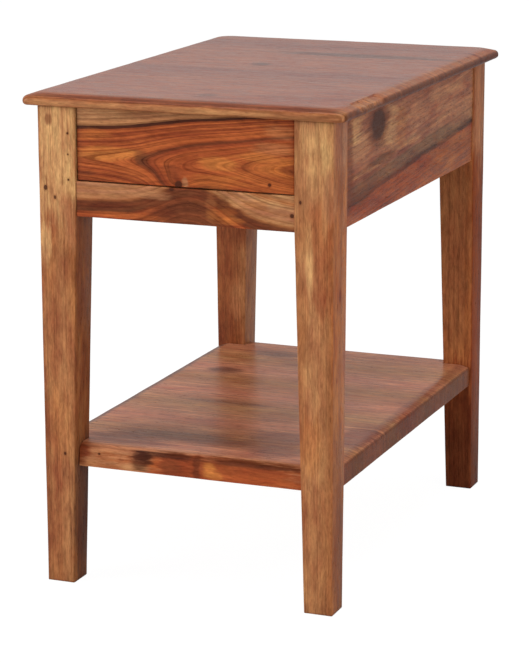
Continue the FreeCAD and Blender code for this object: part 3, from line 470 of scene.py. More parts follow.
TENON_THICKNESS = 9 * MM
TENON_LENGTH = 24 * MM
APRON_SHOULDER = 12 * MM
RAIL_SHOULDER = 8 * MM
STUB_LENGTH = 14 * MM
STUB_WIDTH = 15 * MM
STUB_INSET = 5 * MM
GLUE_GAP = 0.2 * MM
MORTISE_END_GAP = 1 * MM
DOWEL_HOLE = 8.2 * MM
DOWEL_IN_LEG = 13 * MM
DOWEL_IN_SHELF = 21 * MM
DOWEL_SHARES = (0.25, 0.75)
DOWEL_SIDES = 24

FOOT = 36 * MM
LEG = 48 * MM
LEG_EDGE = 2 * MM
FOOT_EDGE = 1.2 * MM
BOARD_EDGE = 0.5 * MM
DRAWER_EDGE = 0.4 * MM
SHELF_EDGE = 3 * MM
SHELF_BORDER = 12 * MM
SHELF_FALL = 3.5 * MM
SHELF_WEAR = 3 * MM
TOP_BORDER = 14 * MM
TOP_FALL = 5 * MM
TOP_CORNER = 9 * MM
TOP_NOSE = 4.4 * MM
TOP_SHOULDER = 5 * MM
FIELD_CORNER = 18 * MM

# The torn grain on the right border of the top
TORN_FRONT = -250 * MM
TORN_BACK = -165 * MM
TORN_WIDTH = 14 * MM
TORN_FOOT = 6 * MM
TORN_DEPTH = 3 * MM
TORN_CUTS = 24
TORN_REACHES = (13 * MM, 10 * MM, 7.5 * MM, 4 * MM)

# How deep and how wide the dips of planing and wear are, and how far apart the cuts that let a face dip
PLANE_DIP = 0.5 * MM
TOP_DIP = PLANE_DIP * 0.8
LEG_DIPS = 60 * MM
BOARD_DIPS = 70 * MM
TOP_DIPS = 50 * MM
ARRIS_DIPS = 30 * MM
TORN_DIPS = 9 * MM
GRID = 28 * MM
DRAWER_GRID = GRID * 0.7
FINE_GRID = GRID * 0.45

PLIES = 5
SMOOTH_ANGLE = math.radians(30)
MORTISED = ("apron_left", "apron_right", "apron_back", "front_rail", "top_rail")

# The outer corner of a leg, the height where its taper begins, and the shelf
leg_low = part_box("leg_front_left")[0]
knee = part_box("apron_right")[0].z
shelf_low, shelf_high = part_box("lower_shelf")


# Modelling helpers

def clear_selection():
    if bpy.context.object and bpy.context.object.mode != "OBJECT":
        bpy.ops.object.mode_set(mode="OBJECT")
    bpy.ops.object.select_all(action="DESELECT")


def take_up(piece):
    """Make a piece the only one selected, and the one that operators act on."""
    clear_selection()
    piece.select_set(True)
    bpy.context.view_layer.objects.active = piece


def block(name, low, high):
    """A plain block between two corners, ready to be worked in edit mode."""
    clear_selection()
    bpy.ops.mesh.primitive_cube_add(size=1, location=(low + high) / 2)
    made = bpy.context.object
    made.name = name
    made.data.name = name
    made.scale = high - low
    bpy.ops.object.transform_apply(location=True, rotation=True, scale=True)
    return made


def rod(name, start, length, diameter):
    """A round cutter along X from a point, in the direction of its length's sign."""
    clear_selection()
    middle = start + Vector((length / 2, 0, 0))
    bpy.ops.mesh.primitive_cylinder_add(vertices=DOWEL_SIDES, radius=diameter / 2, depth=abs(length),
                                        location=middle, rotation=(0, math.pi / 2, 0))
    made = bpy.context.object
    made.name = name
    bpy.ops.object.transform_apply(location=True, rotation=True, scale=True)
    return made


def edit(piece, kind="VERT"):
    take_up(piece)
    bpy.ops.object.mode_set(mode="EDIT")
    bpy.ops.mesh.select_mode(type=kind)
    return bmesh.from_edit_mesh(piece.data)


def pick(piece, items, test):
    """Select only the vertices, edges or faces that a test of them picks out."""
    bpy.ops.mesh.select_all(action="DESELECT")
    for item in items:
        item.select_set(test(item))
    shape = bmesh.from_edit_mesh(piece.data)
    shape.select_flush_mode()
    bmesh.update_edit_mesh(piece.data)


def done():
    bpy.ops.object.mode_set(mode="OBJECT")


def rise(edge, axis):
    """How far an edge goes along an axis."""
    first, second = edge.verts
    return abs(first.co[axis] - second.co[axis])


def round_edges(piece, width, segments, test):
    """Round the edges that a test picks out."""
    shape = edit(piece, "EDGE")
    pick(piece, shape.edges, test)
    bpy.ops.mesh.bevel(offset=width, offset_type="OFFSET", segments=segments, profile=0.5, affect="EDGES")
    done()


def slice_along(piece, axis, places):
    """Cut a piece across an axis, without parting it, so that its faces can wander."""
    normal = Vector((0, 0, 0))
    normal[axis] = 1
    edit(piece)
    for place in places:
        bpy.ops.mesh.select_all(action="SELECT")
        bpy.ops.mesh.bisect(plane_co=normal * place, plane_no=normal)
    done()


def steps(low, high, count):
    return [low + (high - low) * (number + 1) / (count + 1) for number in range(count)]


def grid_cuts(piece, axes, pitch=GRID):
    """Cut a piece across each axis about every pitch."""
    for axis in axes:
        places = [vertex.co[axis] for vertex in piece.data.vertices]
        low, high = min(places), max(places)
        slice_along(piece, axis, steps(low, high, int((high - low) / pitch)))


def apply_all(piece):
    take_up(piece)
    for modifier in list(piece.modifiers):
        bpy.ops.object.modifier_apply(modifier=modifier.name)


def dip_in(piece, label, depth, size, layers):
    """A modifier that lets the faces dip in unevenly by up to a depth."""
    cloud = bpy.data.textures.new(f"{piece.name}_{label}", "CLOUDS")
    cloud.noise_scale = size
    cloud.noise_depth = layers
    dip = piece.modifiers.new(label, "DISPLACE")
    dip.texture = cloud
    dip.texture_coords = "LOCAL"
    dip.mid_level = 1.0
    dip.strength = depth
    return dip


def hand_planed(piece, depth, size):
    """Let all the faces dip in, as a plane and a sander leave them."""
    dip_in(piece, "dips", depth, size, 1)
    apply_all(piece)


def wear_down(piece, test, depth, size):
    """Rub away the vertices that a test picks out, unevenly, by up to a depth."""
    worn = piece.vertex_groups.new(name="worn")
    worn.add([vertex.index for vertex in piece.data.vertices if test(vertex.co)], 1.0, "REPLACE")
    dip_in(piece, "wear", depth, size, 2).vertex_group = worn.name
    apply_all(piece)


def combine(piece, operation, blocks):
    """Make blocks one with a piece, or cut them out of it."""
    for part in blocks:
        joint = piece.modifiers.new("joint", "BOOLEAN")
        joint.operation = operation
        joint.solver = "EXACT"
        joint.object = part
    apply_all(piece)
    for part in blocks:
        bpy.data.objects.remove(part)


def finish_piece(piece, node, material):
    """Give a piece its wood and let it stand for its node."""
    piece.data.materials.clear()
    piece.data.materials.append(material)
    take_up(piece)
    bpy.ops.object.shade_smooth_by_angle(angle=SMOOTH_ANGLE)
    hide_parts(node)
    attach(piece, "drawer" if node.startswith("drawer") else "frame")


# Mortises, tenons and dowels

def grown(low, high, gap):
    return low - Vector((gap, gap, gap)), high + Vector((gap, gap, gap))


def run_axis(node):
    """The axis that a board between two legs runs along."""
    return 1 if node in ("apron_left", "apron_right") else 0


def tenons(node):
    """The two tenon blocks of a board, each as its lowest and highest corner."""
    low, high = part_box(node)
    run = run_axis(node)
    thick = 1 - run
    middle = (low + high) / 2
    if node == "top_rail":
        length = STUB_LENGTH
        first = Vector((low.x, low.y + STUB_INSET, middle.z - TENON_THICKNESS / 2))
        last = Vector((high.x, low.y + STUB_INSET + STUB_WIDTH, middle.z + TENON_THICKNESS / 2))
    else:
        length = TENON_LENGTH
        shoulder = RAIL_SHOULDER if node == "front_rail" else APRON_SHOULDER
        first, last = low.copy(), high.copy()
        first.z += shoulder
        last.z -= shoulder
        first[thick] = middle[thick] - TENON_THICKNESS / 2
        last[thick] = middle[thick] + TENON_THICKNESS / 2
    near, far = last.copy(), first.copy()
    near[run] = low[run] + length
    far[run] = high[run] - length
    return (first, near), (far, last)


def mortise_blocks():
    """A block for each mortise, a glue gap larger than its tenon and deeper by the end gap."""
    blocks = []
    for node in MORTISED:
        run = run_axis(node)
        (first, near), (far, last) = (grown(*tenon, GLUE_GAP) for tenon in tenons(node))
        first[run] -= MORTISE_END_GAP - GLUE_GAP
        last[run] += MORTISE_END_GAP - GLUE_GAP
        blocks += [(first, near), (far, last)]
    return blocks


def overlap(first, second):
    return all(first[0][axis] < second[1][axis] and second[0][axis] < first[1][axis] for axis in range(3))


def leg_width(height):
    """How thick the tapered part of a leg is at a height."""
    return FOOT + (LEG - FOOT) * height / knee


def dowel_cutters(side, end, length):
    """Cutters for the two dowels beside one leg, along X from the notch's face by a length."""
    half_way = (shelf_low.z + shelf_high.z) / 2
    run = leg_width(shelf_high.z) - (-leg_low.y - shelf_high.y)
    face = -leg_low.x - leg_width(half_way)
    cutters = []
    for share in DOWEL_SHARES:
        start = Vector((face * side, (shelf_high.y - run * share) * end, half_way))
        cutters.append(rod("dowel_cutter", start, length * side, DOWEL_HOLE))
    return cutters


# The boards that show

def make_leg(node, bands, **look):
    """A square leg, tapered on its two inner faces from the aprons down to the foot."""
    low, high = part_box(node)
    side = 1 if low.x > 0 else -1
    end = 1 if low.y > 0 else -1
    piece = block(node + "_turned", low, high)
    slice_along(piece, 2, [knee])
    shape = edit(piece)
    for axis, direction in ((0, side), (1, end)):
        inner = low[axis] if direction > 0 else high[axis]
        pick(piece, shape.verts,
             lambda vertex: vertex.co.z < knee / 2 and abs(vertex.co[axis] - inner) < MM)
        shift = Vector((0, 0, 0))
        shift[axis] = (LEG - FOOT) * direction
        bpy.ops.transform.translate(value=shift)
    done()
    round_edges(piece, LEG_EDGE, 3, lambda edge: rise(edge, 2) > LEG)
    round_edges(piece, FOOT_EDGE, 2, lambda edge: max(vertex.co.z for vertex in edge.verts) < MM)
    grid_cuts(piece, (2,))
    hand_planed(piece, PLANE_DIP, LEG_DIPS)
    cutters = [block("mortise_cutter", *wall) for wall in mortise_blocks() if overlap(wall, (low, high))]
    combine(piece, "DIFFERENCE", cutters + dowel_cutters(side, end, DOWEL_IN_LEG))
    finish_piece(piece, node, wood(node, "ZXY", bands, **look))


def make_tenoned_board(node, bands, **look):
    """An apron or rail between two legs, with its tenons."""
    low, high = (corner.copy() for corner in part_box(node))
    (first, near), (far, last) = tenons(node)
    run = run_axis(node)
    low[run], high[run] = near[run], far[run]
    piece = block(node + "_board", low, high)
    round_edges(piece, BOARD_EDGE, 2, lambda edge: rise(edge, run) > LEG)
    grid_cuts(piece, (run, 2))
    hand_planed(piece, PLANE_DIP, BOARD_DIPS)
    near[run] += BOARD_EDGE
    far[run] -= BOARD_EDGE
    combine(piece, "UNION", [block("tenon", first, near), block("tenon", far, last)])
    finish_piece(piece, node, wood(node, "YZX" if run == 1 else "XZY", bands, **look))


def make_drawer_front(bands, **look):
    """The drawer front, rebated at its ends for the sides and grooved for the bottom."""
    low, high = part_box("drawer_front")
    piece = block("drawer_front_board", low, high)
    round_edges(piece, DRAWER_EDGE, 3, lambda edge: max(vertex.co.y for vertex in edge.verts) < low.y + MM)
    grid_cuts(piece, (0, 2), DRAWER_GRID)
    hand_planed(piece, PLANE_DIP, BOARD_DIPS)
    cutters = [block("side_cutter", *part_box(node)) for node in ("drawer_side_left", "drawer_side_right")]
    cutters.append(block("bottom_cutter", *grown(*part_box("drawer_bottom"), GLUE_GAP)))
    combine(piece, "DIFFERENCE", cutters)
    finish_piece(piece, "drawer_front", wood("drawer_front", "XZY", bands, **look))


# Ranges of a face's upward direction: face down, upright, on a slope and face up
UNDER, UPRIGHT, SLOPED, FLAT = (-1.1, -0.999), (-0.5, 0.5), (0.5, 0.999), (0.999, 1.1)


def between(edge, first, second):
    """Whether an edge's two faces look up within two ranges, the lower one within the first."""
    rises = sorted(face.normal.z for face in edge.link_faces)
    return len(rises) == 2 and first[0] < rises[0] < first[1] and second[0] < rises[1] < second[1]


def plane_border(piece, high, width, fall):
    """Plane a slope along all four sides of a board's upper face."""
    edit(piece)
    for axis, side in ((0, 1), (0, -1), (1, 1), (1, -1)):
        inner = Vector((0, 0, high.z))
        inner[axis] = (high[axis] - width) * side
        slope = Vector((0, 0, width))
        slope[axis] = fall * side
        bpy.ops.mesh.select_all(action="SELECT")
        bpy.ops.mesh.bisect(plane_co=inner, plane_no=slope.normalized(), use_fill=True, clear_outer=True,
                            threshold=0.001 * MM)
    done()


def make_shelf(bands, **look):
    """A thick shelf, notched round the legs, with worn upper edges."""
    piece = block("shelf_board", shelf_low, shelf_high)
    plane_border(piece, shelf_high, SHELF_BORDER, SHELF_FALL)
    round_edges(piece, SHELF_EDGE, 4,
                lambda edge: between(edge, UPRIGHT, SLOPED) or between(edge, SLOPED, FLAT))
    grid_cuts(piece, (0, 1), FINE_GRID)
    hand_planed(piece, PLANE_DIP, BOARD_DIPS)
    arris_front = shelf_low.y + SHELF_EDGE
    arris_foot = shelf_high.z - SHELF_FALL - SHELF_EDGE * 1.5

    def on_front_arris(place):
        return place.y < arris_front and place.z > arris_foot
    wear_down(piece, on_front_arris, SHELF_WEAR, ARRIS_DIPS)
    notch = leg_width(shelf_high.z) + GLUE_GAP
    inner = Vector((-leg_low.x - notch, -leg_low.y - notch, 0))
    notches = []
    bores = []
    for side in (-1, 1):
        for end in (-1, 1):
            first = Vector((inner.x * side, inner.y * end, shelf_low.z - MM))
            last = Vector((inner.x * side * 2, inner.y * end * 2, shelf_high.z + MM))
            walls = [Vector(map(min, first, last)), Vector(map(max, first, last))]
            notches.append(block("notch_cutter", *walls))
            bores += dowel_cutters(side, end, -DOWEL_IN_SHELF)
    combine(piece, "DIFFERENCE", notches + bores)
    finish_piece(piece, "lower_shelf", wood("lower_shelf", "XYZ", bands, **look))


def round_field(piece, high):
    """Raise a flat field with rounder corners than the outline, and let the border fall away round it."""
    shape = edit(piece, "FACE")
    pick(piece, shape.faces, lambda face: face.normal.z > FLAT[0])
    bpy.ops.mesh.extrude_region_move(TRANSFORM_OT_translate={"value": (0, 0, 0)})
    shape = bmesh.from_edit_mesh(piece.data)
    field = {vertex for face in shape.faces if face.select for vertex in face.verts}
    outline = Vector((high.x - TOP_CORNER, high.y - TOP_CORNER, 0))
    inner = Vector((high.x - TOP_BORDER - FIELD_CORNER, high.y - TOP_BORDER - FIELD_CORNER, 0))
    for vertex in shape.verts:
        if vertex in field:
            for axis in (0, 1):
                side = math.copysign(1, vertex.co[axis])
                share = (abs(vertex.co[axis]) - outline[axis]) / TOP_CORNER
                vertex.co[axis] = side * (inner[axis] + share * FIELD_CORNER)
        elif vertex.co.z > high.z - MM:
            vertex.co.z -= TOP_FALL
    bmesh.update_edit_mesh(piece.data)
    bpy.ops.mesh.select_all(action="SELECT")
    bpy.ops.mesh.normals_make_consistent(inside=False)
    done()


def make_top(bands, **look):
    """The top: rounded corners, and a border that slopes down to a soft nose, torn at one place."""
    low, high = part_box("table_top")
    piece = block("top_board", low, high)
    round_edges(piece, TOP_CORNER, 6, lambda edge: rise(edge, 2) > MM)
    round_field(piece, high)
    round_edges(piece, TOP_SHOULDER, 4, lambda edge: between(edge, SLOPED, FLAT))
    round_edges(piece, TOP_NOSE, 4,
                lambda edge: between(edge, UPRIGHT, SLOPED) or between(edge, UNDER, UPRIGHT))
    grid_cuts(piece, (0, 1), FINE_GRID)
    slice_along(piece, 1, steps(TORN_FRONT, TORN_BACK, TORN_CUTS))
    slice_along(piece, 0, [high.x - reach for reach in TORN_REACHES])
    hand_planed(piece, TOP_DIP, TOP_DIPS)

    def torn(place):
        at_edge = place.x > high.x - TORN_WIDTH and place.z > low.z + TORN_FOOT
        return at_edge and TORN_FRONT < place.y < TORN_BACK
    wear_down(piece, torn, TORN_DEPTH, TORN_DIPS)
    finish_piece(piece, "table_top", wood("table_top", "XYZ", bands, **look))


# Floor, light and camera

FLOOR_SIZE = 60
FLOOR_DROP = 0.2 * MM
FLOOR_GLOW = 1.1
GLOW_SHARE = 0.88
WORLD_LIGHT = 0.55


def make_floor():
    """A white floor that keeps the table's shadow and throws little light back."""
    bpy.ops.mesh.primitive_plane_add(size=FLOOR_SIZE, location=(0, 0, -FLOOR_DROP))
    floor = bpy.context.object
    floor.name = "floor"
    made, tree = new_material("white_floor")
    matt = add(tree, "BsdfDiffuse", {"Color": (0.6, 0.6, 0.6, 1)})
    glow = add(tree, "Emission", {"Color": (1, 1, 1, 1), "Strength": FLOOR_GLOW})
    seen = add(tree, "LightPath").outputs["Is Camera Ray"]
    share = maths(tree, "MULTIPLY", seen, GLOW_SHARE)
    both = add(tree, "MixShader", {0: share, 1: matt.outputs[0], 2: glow.outputs[0]})
    add(tree, "OutputMaterial", {"Surface": both.outputs[0]})
    floor.data.materials.append(made)


def make_world():
    """White behind the table, and a dimmer, slightly warm light on it."""
    world = bpy.context.scene.world or bpy.data.worlds.new("studio")
    bpy.context.scene.world = world
    world.use_nodes = True
    tree = world.node_tree
    tree.nodes.clear()
    dim = add(tree, "Background", {"Color": (1, 0.985, 0.97, 1), "Strength": WORLD_LIGHT})
    white = add(tree, "Background", {"Color": (1, 1, 1, 1), "Strength": 1.0})
    seen = add(tree, "LightPath").outputs["Is Camera Ray"]
    both = add(tree, "MixShader", {0: seen, 1: dim.outputs[0], 2: white.outputs[0]})
    add(tree, "OutputWorld", {"Surface": both.outputs[0]})


def softbox(name, place, aim, width, height, power):
    """A soft studio lamp that looks at a point."""
    light = bpy.data.lights.new(name, "AREA")
    light.shape = "RECTANGLE"
    light.size = width
    light.size_y = height
    light.energy = power
    lamp = bpy.data.objects.new(name, light)
    bpy.context.scene.collection.objects.link(lamp)
    lamp.location = place
    lamp.rotation_euler = (Vector(aim) - Vector(place)).to_track_quat("-Z", "Y").to_euler()


CAMERA_PLACE = (1.1654, -2.9639, 1.0314)
CAMERA_YAW = 21.692
CAMERA_PITCH = -13.572
CAMERA_ROLL = 0.174
CAMERA_FOCAL_PIXELS = 2569.0
PHOTO_HEIGHT = 663
SENSOR = 36.0


def make_camera():
    """The camera, where the photograph was taken from."""
    lens = bpy.data.cameras.new("camera")
    lens.sensor_width = SENSOR
    lens.lens = CAMERA_FOCAL_PIXELS * SENSOR / PHOTO_HEIGHT
    camera = bpy.data.objects.new("camera", lens)
    bpy.context.scene.collection.objects.link(camera)
    camera.location = CAMERA_PLACE
    yaw, pitch, roll = (math.radians(angle) for angle in (CAMERA_YAW, CAMERA_PITCH, CAMERA_ROLL))
    looks = Vector((-math.sin(yaw) * math.cos(pitch), math.cos(yaw) * math.cos(pitch), math.sin(pitch)))
    camera.rotation_euler = looks.to_track_quat("-Z", "Y").to_euler()
    bpy.context.view_layer.update()
    camera.rotation_euler.rotate_axis("Z", -roll)
    bpy.context.scene.camera = camera


make_floor()
make_world()
softbox("key", (-2.7, -2.2, 1.4), (0, 0, 0.3), 1.8, 1.6, 65)
softbox("fill", (2.6, -1.2, 1.1), (0, 0, 0.3), 1.6, 1.4, 19)
softbox("overhead", (0, -0.2, 3.0), (0, -0.1, 0.5), 2.2, 1.3, 36)
make_camera()


# The look of each board
make_leg(
    "leg_front_left", ((-30, CINNAMON), (-18, HAZEL), (-4, CINNAMON), (10, HAZEL), (24, CINNAMON)),
    pith=(-500, 100), seed=2.1, contrast=0.15, lines=0.4, fibre=0.42, clouds=1.3,
    # The inner side, facing in under the table, is given painted shade in bronze.
    faces=(((-0.0264, 1, 0), 19.7, INNER_SIDE_SHADE, 0.85),),
    stains=(
        ((290, -2, -24), (125, 34, 60), SAP, 0.85), ((130, -20, -24), (27, 11, 30), SAP, 0.85),
        ((184, -19, -24), (25, 10, 30), SAP, 0.55), ((150, 17, -24), (32, 8, 14), SAP_PINK, 0.4),
        ((275, -25, -24), (110, 5, 30), CINNAMON, 0.8), ((-95, -2, -24), (45, 16, 30), AMBER, 0.3),
        # The cocoa stain low on the inner side is painted shade.
        ((-110, 0, -24), (230, 26, 40), TAN, 0.4), ((-215, 17, 6), (110, 10, 34), LOW_INNER_SIDE_SHADE, 0.85),
        ((276, -10, -24), (7, 5, 20), CHESTNUT, 0.7), ((-150, -24, -24), (190, 7, 12), CHESTNUT, 0.65),
    ),
    knots=(
        ((261, 15, -24), (1.4, 1.4, 20)), ((236, 15, -24), (1.1, 1.1, 20)),
        ((206, 15, -24), (1.3, 1.3, 20)), ((195, -15, -24), (3.2, 2.4, 20)),
        ((184, -3, -24), (2.4, 1.4, 20)), ((-129, 3, -24), (2, 1.6, 20)),
    ),
)
make_leg(
    "leg_front_right", ((-30, HAZEL), (-12, TAN), (2, TAN), (12, HAZEL), (22, CINNAMON), (26, CINNAMON)),
    pith=(-500, -100), seed=3.4, contrast=0.15, lines=0.4, fibre=0.42, clouds=1.2,
    stains=(
        ((278, -4, -24), (26, 12, 16), SAP, 0.5), ((250, 13, -24), (30, 7, 16), SAP, 0.5),
        ((195, 14, -24), (40, 4, 12), SAP, 0.6), ((145, 10, -24), (80, 13, 16), EMBER, 0.38),
        ((128, -5, -24), (42, 5, 12), SAP, 0.6), ((28, -10, -24), (26, 9, 14), CHESTNUT, 0.4),
        ((-90, -4, -24), (36, 14, 16), YELLOW, 0.3), ((-215, 4, -24), (90, 26, 16), CINNAMON, 0.3),
        ((120, 26, 8), (240, 6, 34), AMBER, 0.4), ((225, 24, 0), (36, 12, 18), CHESTNUT, 0.3),
        ((262, 18, -24), (46, 9, 16), SAP, 0.45), ((264, 25, 4), (36, 6, 30), SAP_PINK, 0.85),
        ((222, 2, -24), (24, 14, 16), SAP, 0.35), ((206, 19, -24), (30, 7, 16), SAP_PINK, 0.6),
        ((70, -15, -24), (40, 10, 16), CINNAMON, 0.45), ((165, -6, -24), (30, 18, 16), CINNAMON, 0.45),
        ((-85, -16, -24), (120, 9, 16), CINNAMON, 0.45), ((-220, 26, 8), (90, 9, 30), CHESTNUT, 0.55),
        ((88, 24, 0), (8, 6, 4), RUSSET, 0.9), ((-10, 24, -10), (5, 6, 3), RUSSET, 0.7),
    ),
    knots=(((198, -16, -24), (2.2, 1.4, 20)),),
)
make_leg(
    "leg_back_right", ((-30, CINNAMON), (10, CINNAMON), (24, CINNAMON)),
    pith=(-500, 100), seed=4.2, contrast=0.2, lines=0.5, fibre=0.42, clouds=1.0, polish=0.03,
    faces=(((0, 1, 0), 24, BRICK, 0.9),),
    stains=(
        ((262, 24, 10), (110, 5, 40), SAP_PINK, 0.85), ((-160, 24, 10), (190, 5, 40), RUSSET, 0.4),
        ((80, -4, -24), (220, 24, 40), OLIVE, 0.4), ((-245, 0, -24), (130, 60, 90), RUSSET, 0.95),
        ((-250, 0, -24), (120, 60, 90), BARK, 0.75), ((-262, -4, -24), (60, 40, 60), UMBER, 0.35),
    ),
)
make_leg(
    "leg_back_left", ((-30, CINNAMON), (0, CINNAMON), (18, HAZEL), (24, TAN)),
    pith=(-500, 60), seed=5.9, contrast=0.2, lines=0.5, fibre=0.42, clouds=1.0,
    stains=(
        # The chestnut patch at 52 along the leg is painted shade below the rail.
        ((0, -6, -24), (320, 26, 30), CHESTNUT, 0.3), ((52, 0, -24), (34, 40, 40), CHESTNUT, 0.6),
        ((-40, -17, -24), (90, 8, 20), CHESTNUT, 0.3), ((-105, -10, -24), (44, 20, 20), CHESTNUT, 0.7),
        ((-55, 7, -24), (28, 12, 20), TAN, 0.6),
    ),
)
make_tenoned_board(
    "front_rail", (
        (-60, CHESTNUT), (-44, BARK), (-30, CHESTNUT), (-21, RUSSET), (-16, EMBER), (-13.5, RUSSET),
        (-11, BARK), (-5, CHESTNUT), (-2, BARK), (0.5, CINNAMON), (3, TAN), (7, TAN), (11, SAP_PINK),
        (15, HAZEL), (19, SAP_PINK), (24, BISCUIT), (30, CINNAMON), (36, BISCUIT),
    ),
    fray=5, spacing=2.6, seed=6.3, contrast=0.3, lines=0.5, fibre=0.38, clouds=1.0,
    swells=(((10, 0, 0), (50, 300, 300), -27), ((150, 0, 0), (90, 300, 300), 18)),
    stains=(
        ((0, -4, -10), (52, 26, 20), CHESTNUT, 0.75), ((5, 4, -10), (34, 14, 20), BARK, 0.6),
        ((-75, -15.5, -10), (50, 4, 20), ORANGE, 0.8), ((34, 2, -10), (7, 22, 20), CINNAMON, 0.4),
        ((50, 9, -10), (6, 9, 20), BARK, 0.5), ((60, -13, -10), (16, 4, 20), AMBER, 0.6),
        ((48, -6, -10), (18, 10, 20), AMBER, 0.4), ((92, 7, -10), (18, 6, 20), CINNAMON, 0.6),
        ((112, 8, -10), (9, 9, 20), BISCUIT, 0.6), ((-42, 11, -10), (26, 5, 20), BISCUIT, 0.6),
        ((120, 0, -10), (16, 8, 20), BISCUIT, 0.4),
    ),
    knots=(((-15, 19, -10), (3, 2, 20)), ((134, -2, -10), (2.4, 2.4, 20))),
)
make_tenoned_board(
    "apron_right", (
        (-90, ORANGE), (-62, ORANGE), (-52, EMBER), (-29, EMBER), (-27, UMBER), (-24, UMBER),
        (-20, OLIVE), (-9, OLIVE), (-3, ROSE), (2, BISCUIT), (10, ROSE), (34, SAP_PINK), (60, ROSE),
    ),
    drift=(0.066, 0), fray=9, seed=7.7, contrast=0.25, lines=0.5, fibre=0.4, wander=12, clouds=1.5,
    stains=(
        ((-215, 46, 10), (28, 19, 16), SAP, 0.7), ((-84, 28, 10), (56, 28, 16), BISCUIT, 0.9),
        ((-185, 26, 10), (44, 34, 16), BISCUIT, 0.3), ((252, 42, 10), (30, 28, 16), SAP_PINK, 0.8),
        ((-45, 26, 10), (22, 26, 16), CINNAMON, 0.7), ((180, 18, 10), (220, 19, 16), SAP_PINK, 0.7),
        ((170, -44, 10), (130, 26, 16), CINNAMON, 0.75), ((-120, -4, 10), (50, 6, 16), BARK, 0.75),
        ((-236, 0, 10), (18, 70, 16), CHESTNUT, 0.8), ((0, -46, 10), (320, 24, 16), RUSSET, 0.4),
        ((-170, -20, 10), (100, 14, 16), CHESTNUT, 0.4), ((45, 8, 10), (40, 8, 16), HEATHER, 0.6),
        ((-192, -36, 10), (34, 12, 16), BARK, 0.6), ((-69, -56, 10), (60, 10, 16), RUSSET, 0.4),
        ((195, 8, 10), (60, 16, 16), SAP_PINK, 0.5), ((-132, 38, 10), (40, 27, 16), CHESTNUT, 0.8),
    ),
    knots=(((-131, 39, 10), (24, 18, 20)),),
)
make_tenoned_board(
    "apron_left", (
        (-70, EMBER), (-38, CINNAMON), (-24, RUSSET), (-18, CINNAMON), (0, HAZEL), (22, CINNAMON),
        (34, TAN), (70, HAZEL),
    ),
    drift=(-0.05, 0), seed=8.1, contrast=0.3, fibre=0.38, clouds=1.2,
)
make_tenoned_board(
    "apron_back", ((-60, EMBER), (-10, CINNAMON), (10, BARK), (14, ORANGE), (60, HAZEL)),
    seed=9.2,
)
make_drawer_front(
    (
        (-46, CINNAMON), (-41, HAZEL), (-39, RUSSET), (-37.5, RUSSET), (-36, AMBER), (-30, ORANGE),
        (-28, EMBER), (-26.5, RUSSET), (-24.2, EMBER), (-22, ORANGE), (-16, ORANGE), (-14, EMBER),
        (-8, EMBER), (-6.5, ORANGE), (-3, EMBER), (1, RUSSET), (4, CHESTNUT), (5.5, CHESTNUT), (7, EMBER),
        (9, ORANGE), (18, ORANGE), (20, RUSSET), (22, ORANGE), (25, RUSSET), (28, ORANGE), (33, RUSSET),
        (35, ORANGE), (38, EMBER), (39.5, UMBER), (42.5, UMBER), (44, TAN), (52, BISCUIT),
    ),
    pith=(-15, -1), from_pith=True, taper=0.04, fray=3, spacing=1.5, lines=0.8, contrast=0.35, fibre=0.36,
    clouds=0.7, wander=6, end_grain=0.15, seed=1.3,
    swells=(
        ((150, -15, 0), (110, 60, 300), -42), ((10, -15, 0), (60, 50, 300), -12),
        ((-10, -43, 0), (28, 18, 300), -20),
    ),
    stains=(
        ((-98, -9, -9), (44, 9, 20), YELLOW, 0.75), ((42, -13, -9), (26, 8, 20), YELLOW, 0.75),
        ((95, -2, -9), (30, 6, 20), YELLOW, 0.45), ((112, -22, -9), (40, 28, 20), AMBER, 0.35),
        ((-54, -12, -9), (9, 10, 20), BARK, 0.6), ((40, -34, -9), (34, 8, 20), AMBER, 0.65),
        ((112, 8, -9), (26, 9, 20), TAN, 0.4), ((-117, 12, -9), (22, 7, 20), AMBER, 0.45),
        # The chestnut stain at (-58, 38) is painted shade on the sapwood just under the top's edge.
        ((-58, 38, -9), (34, 5, 20), CHESTNUT, 0.4), ((120, 27, -9), (22, 9, 20), TAN, 0.35),
        ((4, 20, -9), (24, 6, 20), RUSSET, 0.55), ((-16, -28, -9), (14, 10, 20), CHESTNUT, 0.4),
        ((1, -37, -9), (4, 6, 20), BISCUIT, 0.7), ((-125, -34, -9), (14, 3, 20), CHESTNUT, 0.6),
        ((-100, 6, -9), (14, 4, 20), RUSSET, 0.5),
    ),
    knots=(((-7, -40.5, -9), (4.6, 5, 30)), ((106, -33.5, -9), (2, 2, 20))),
)
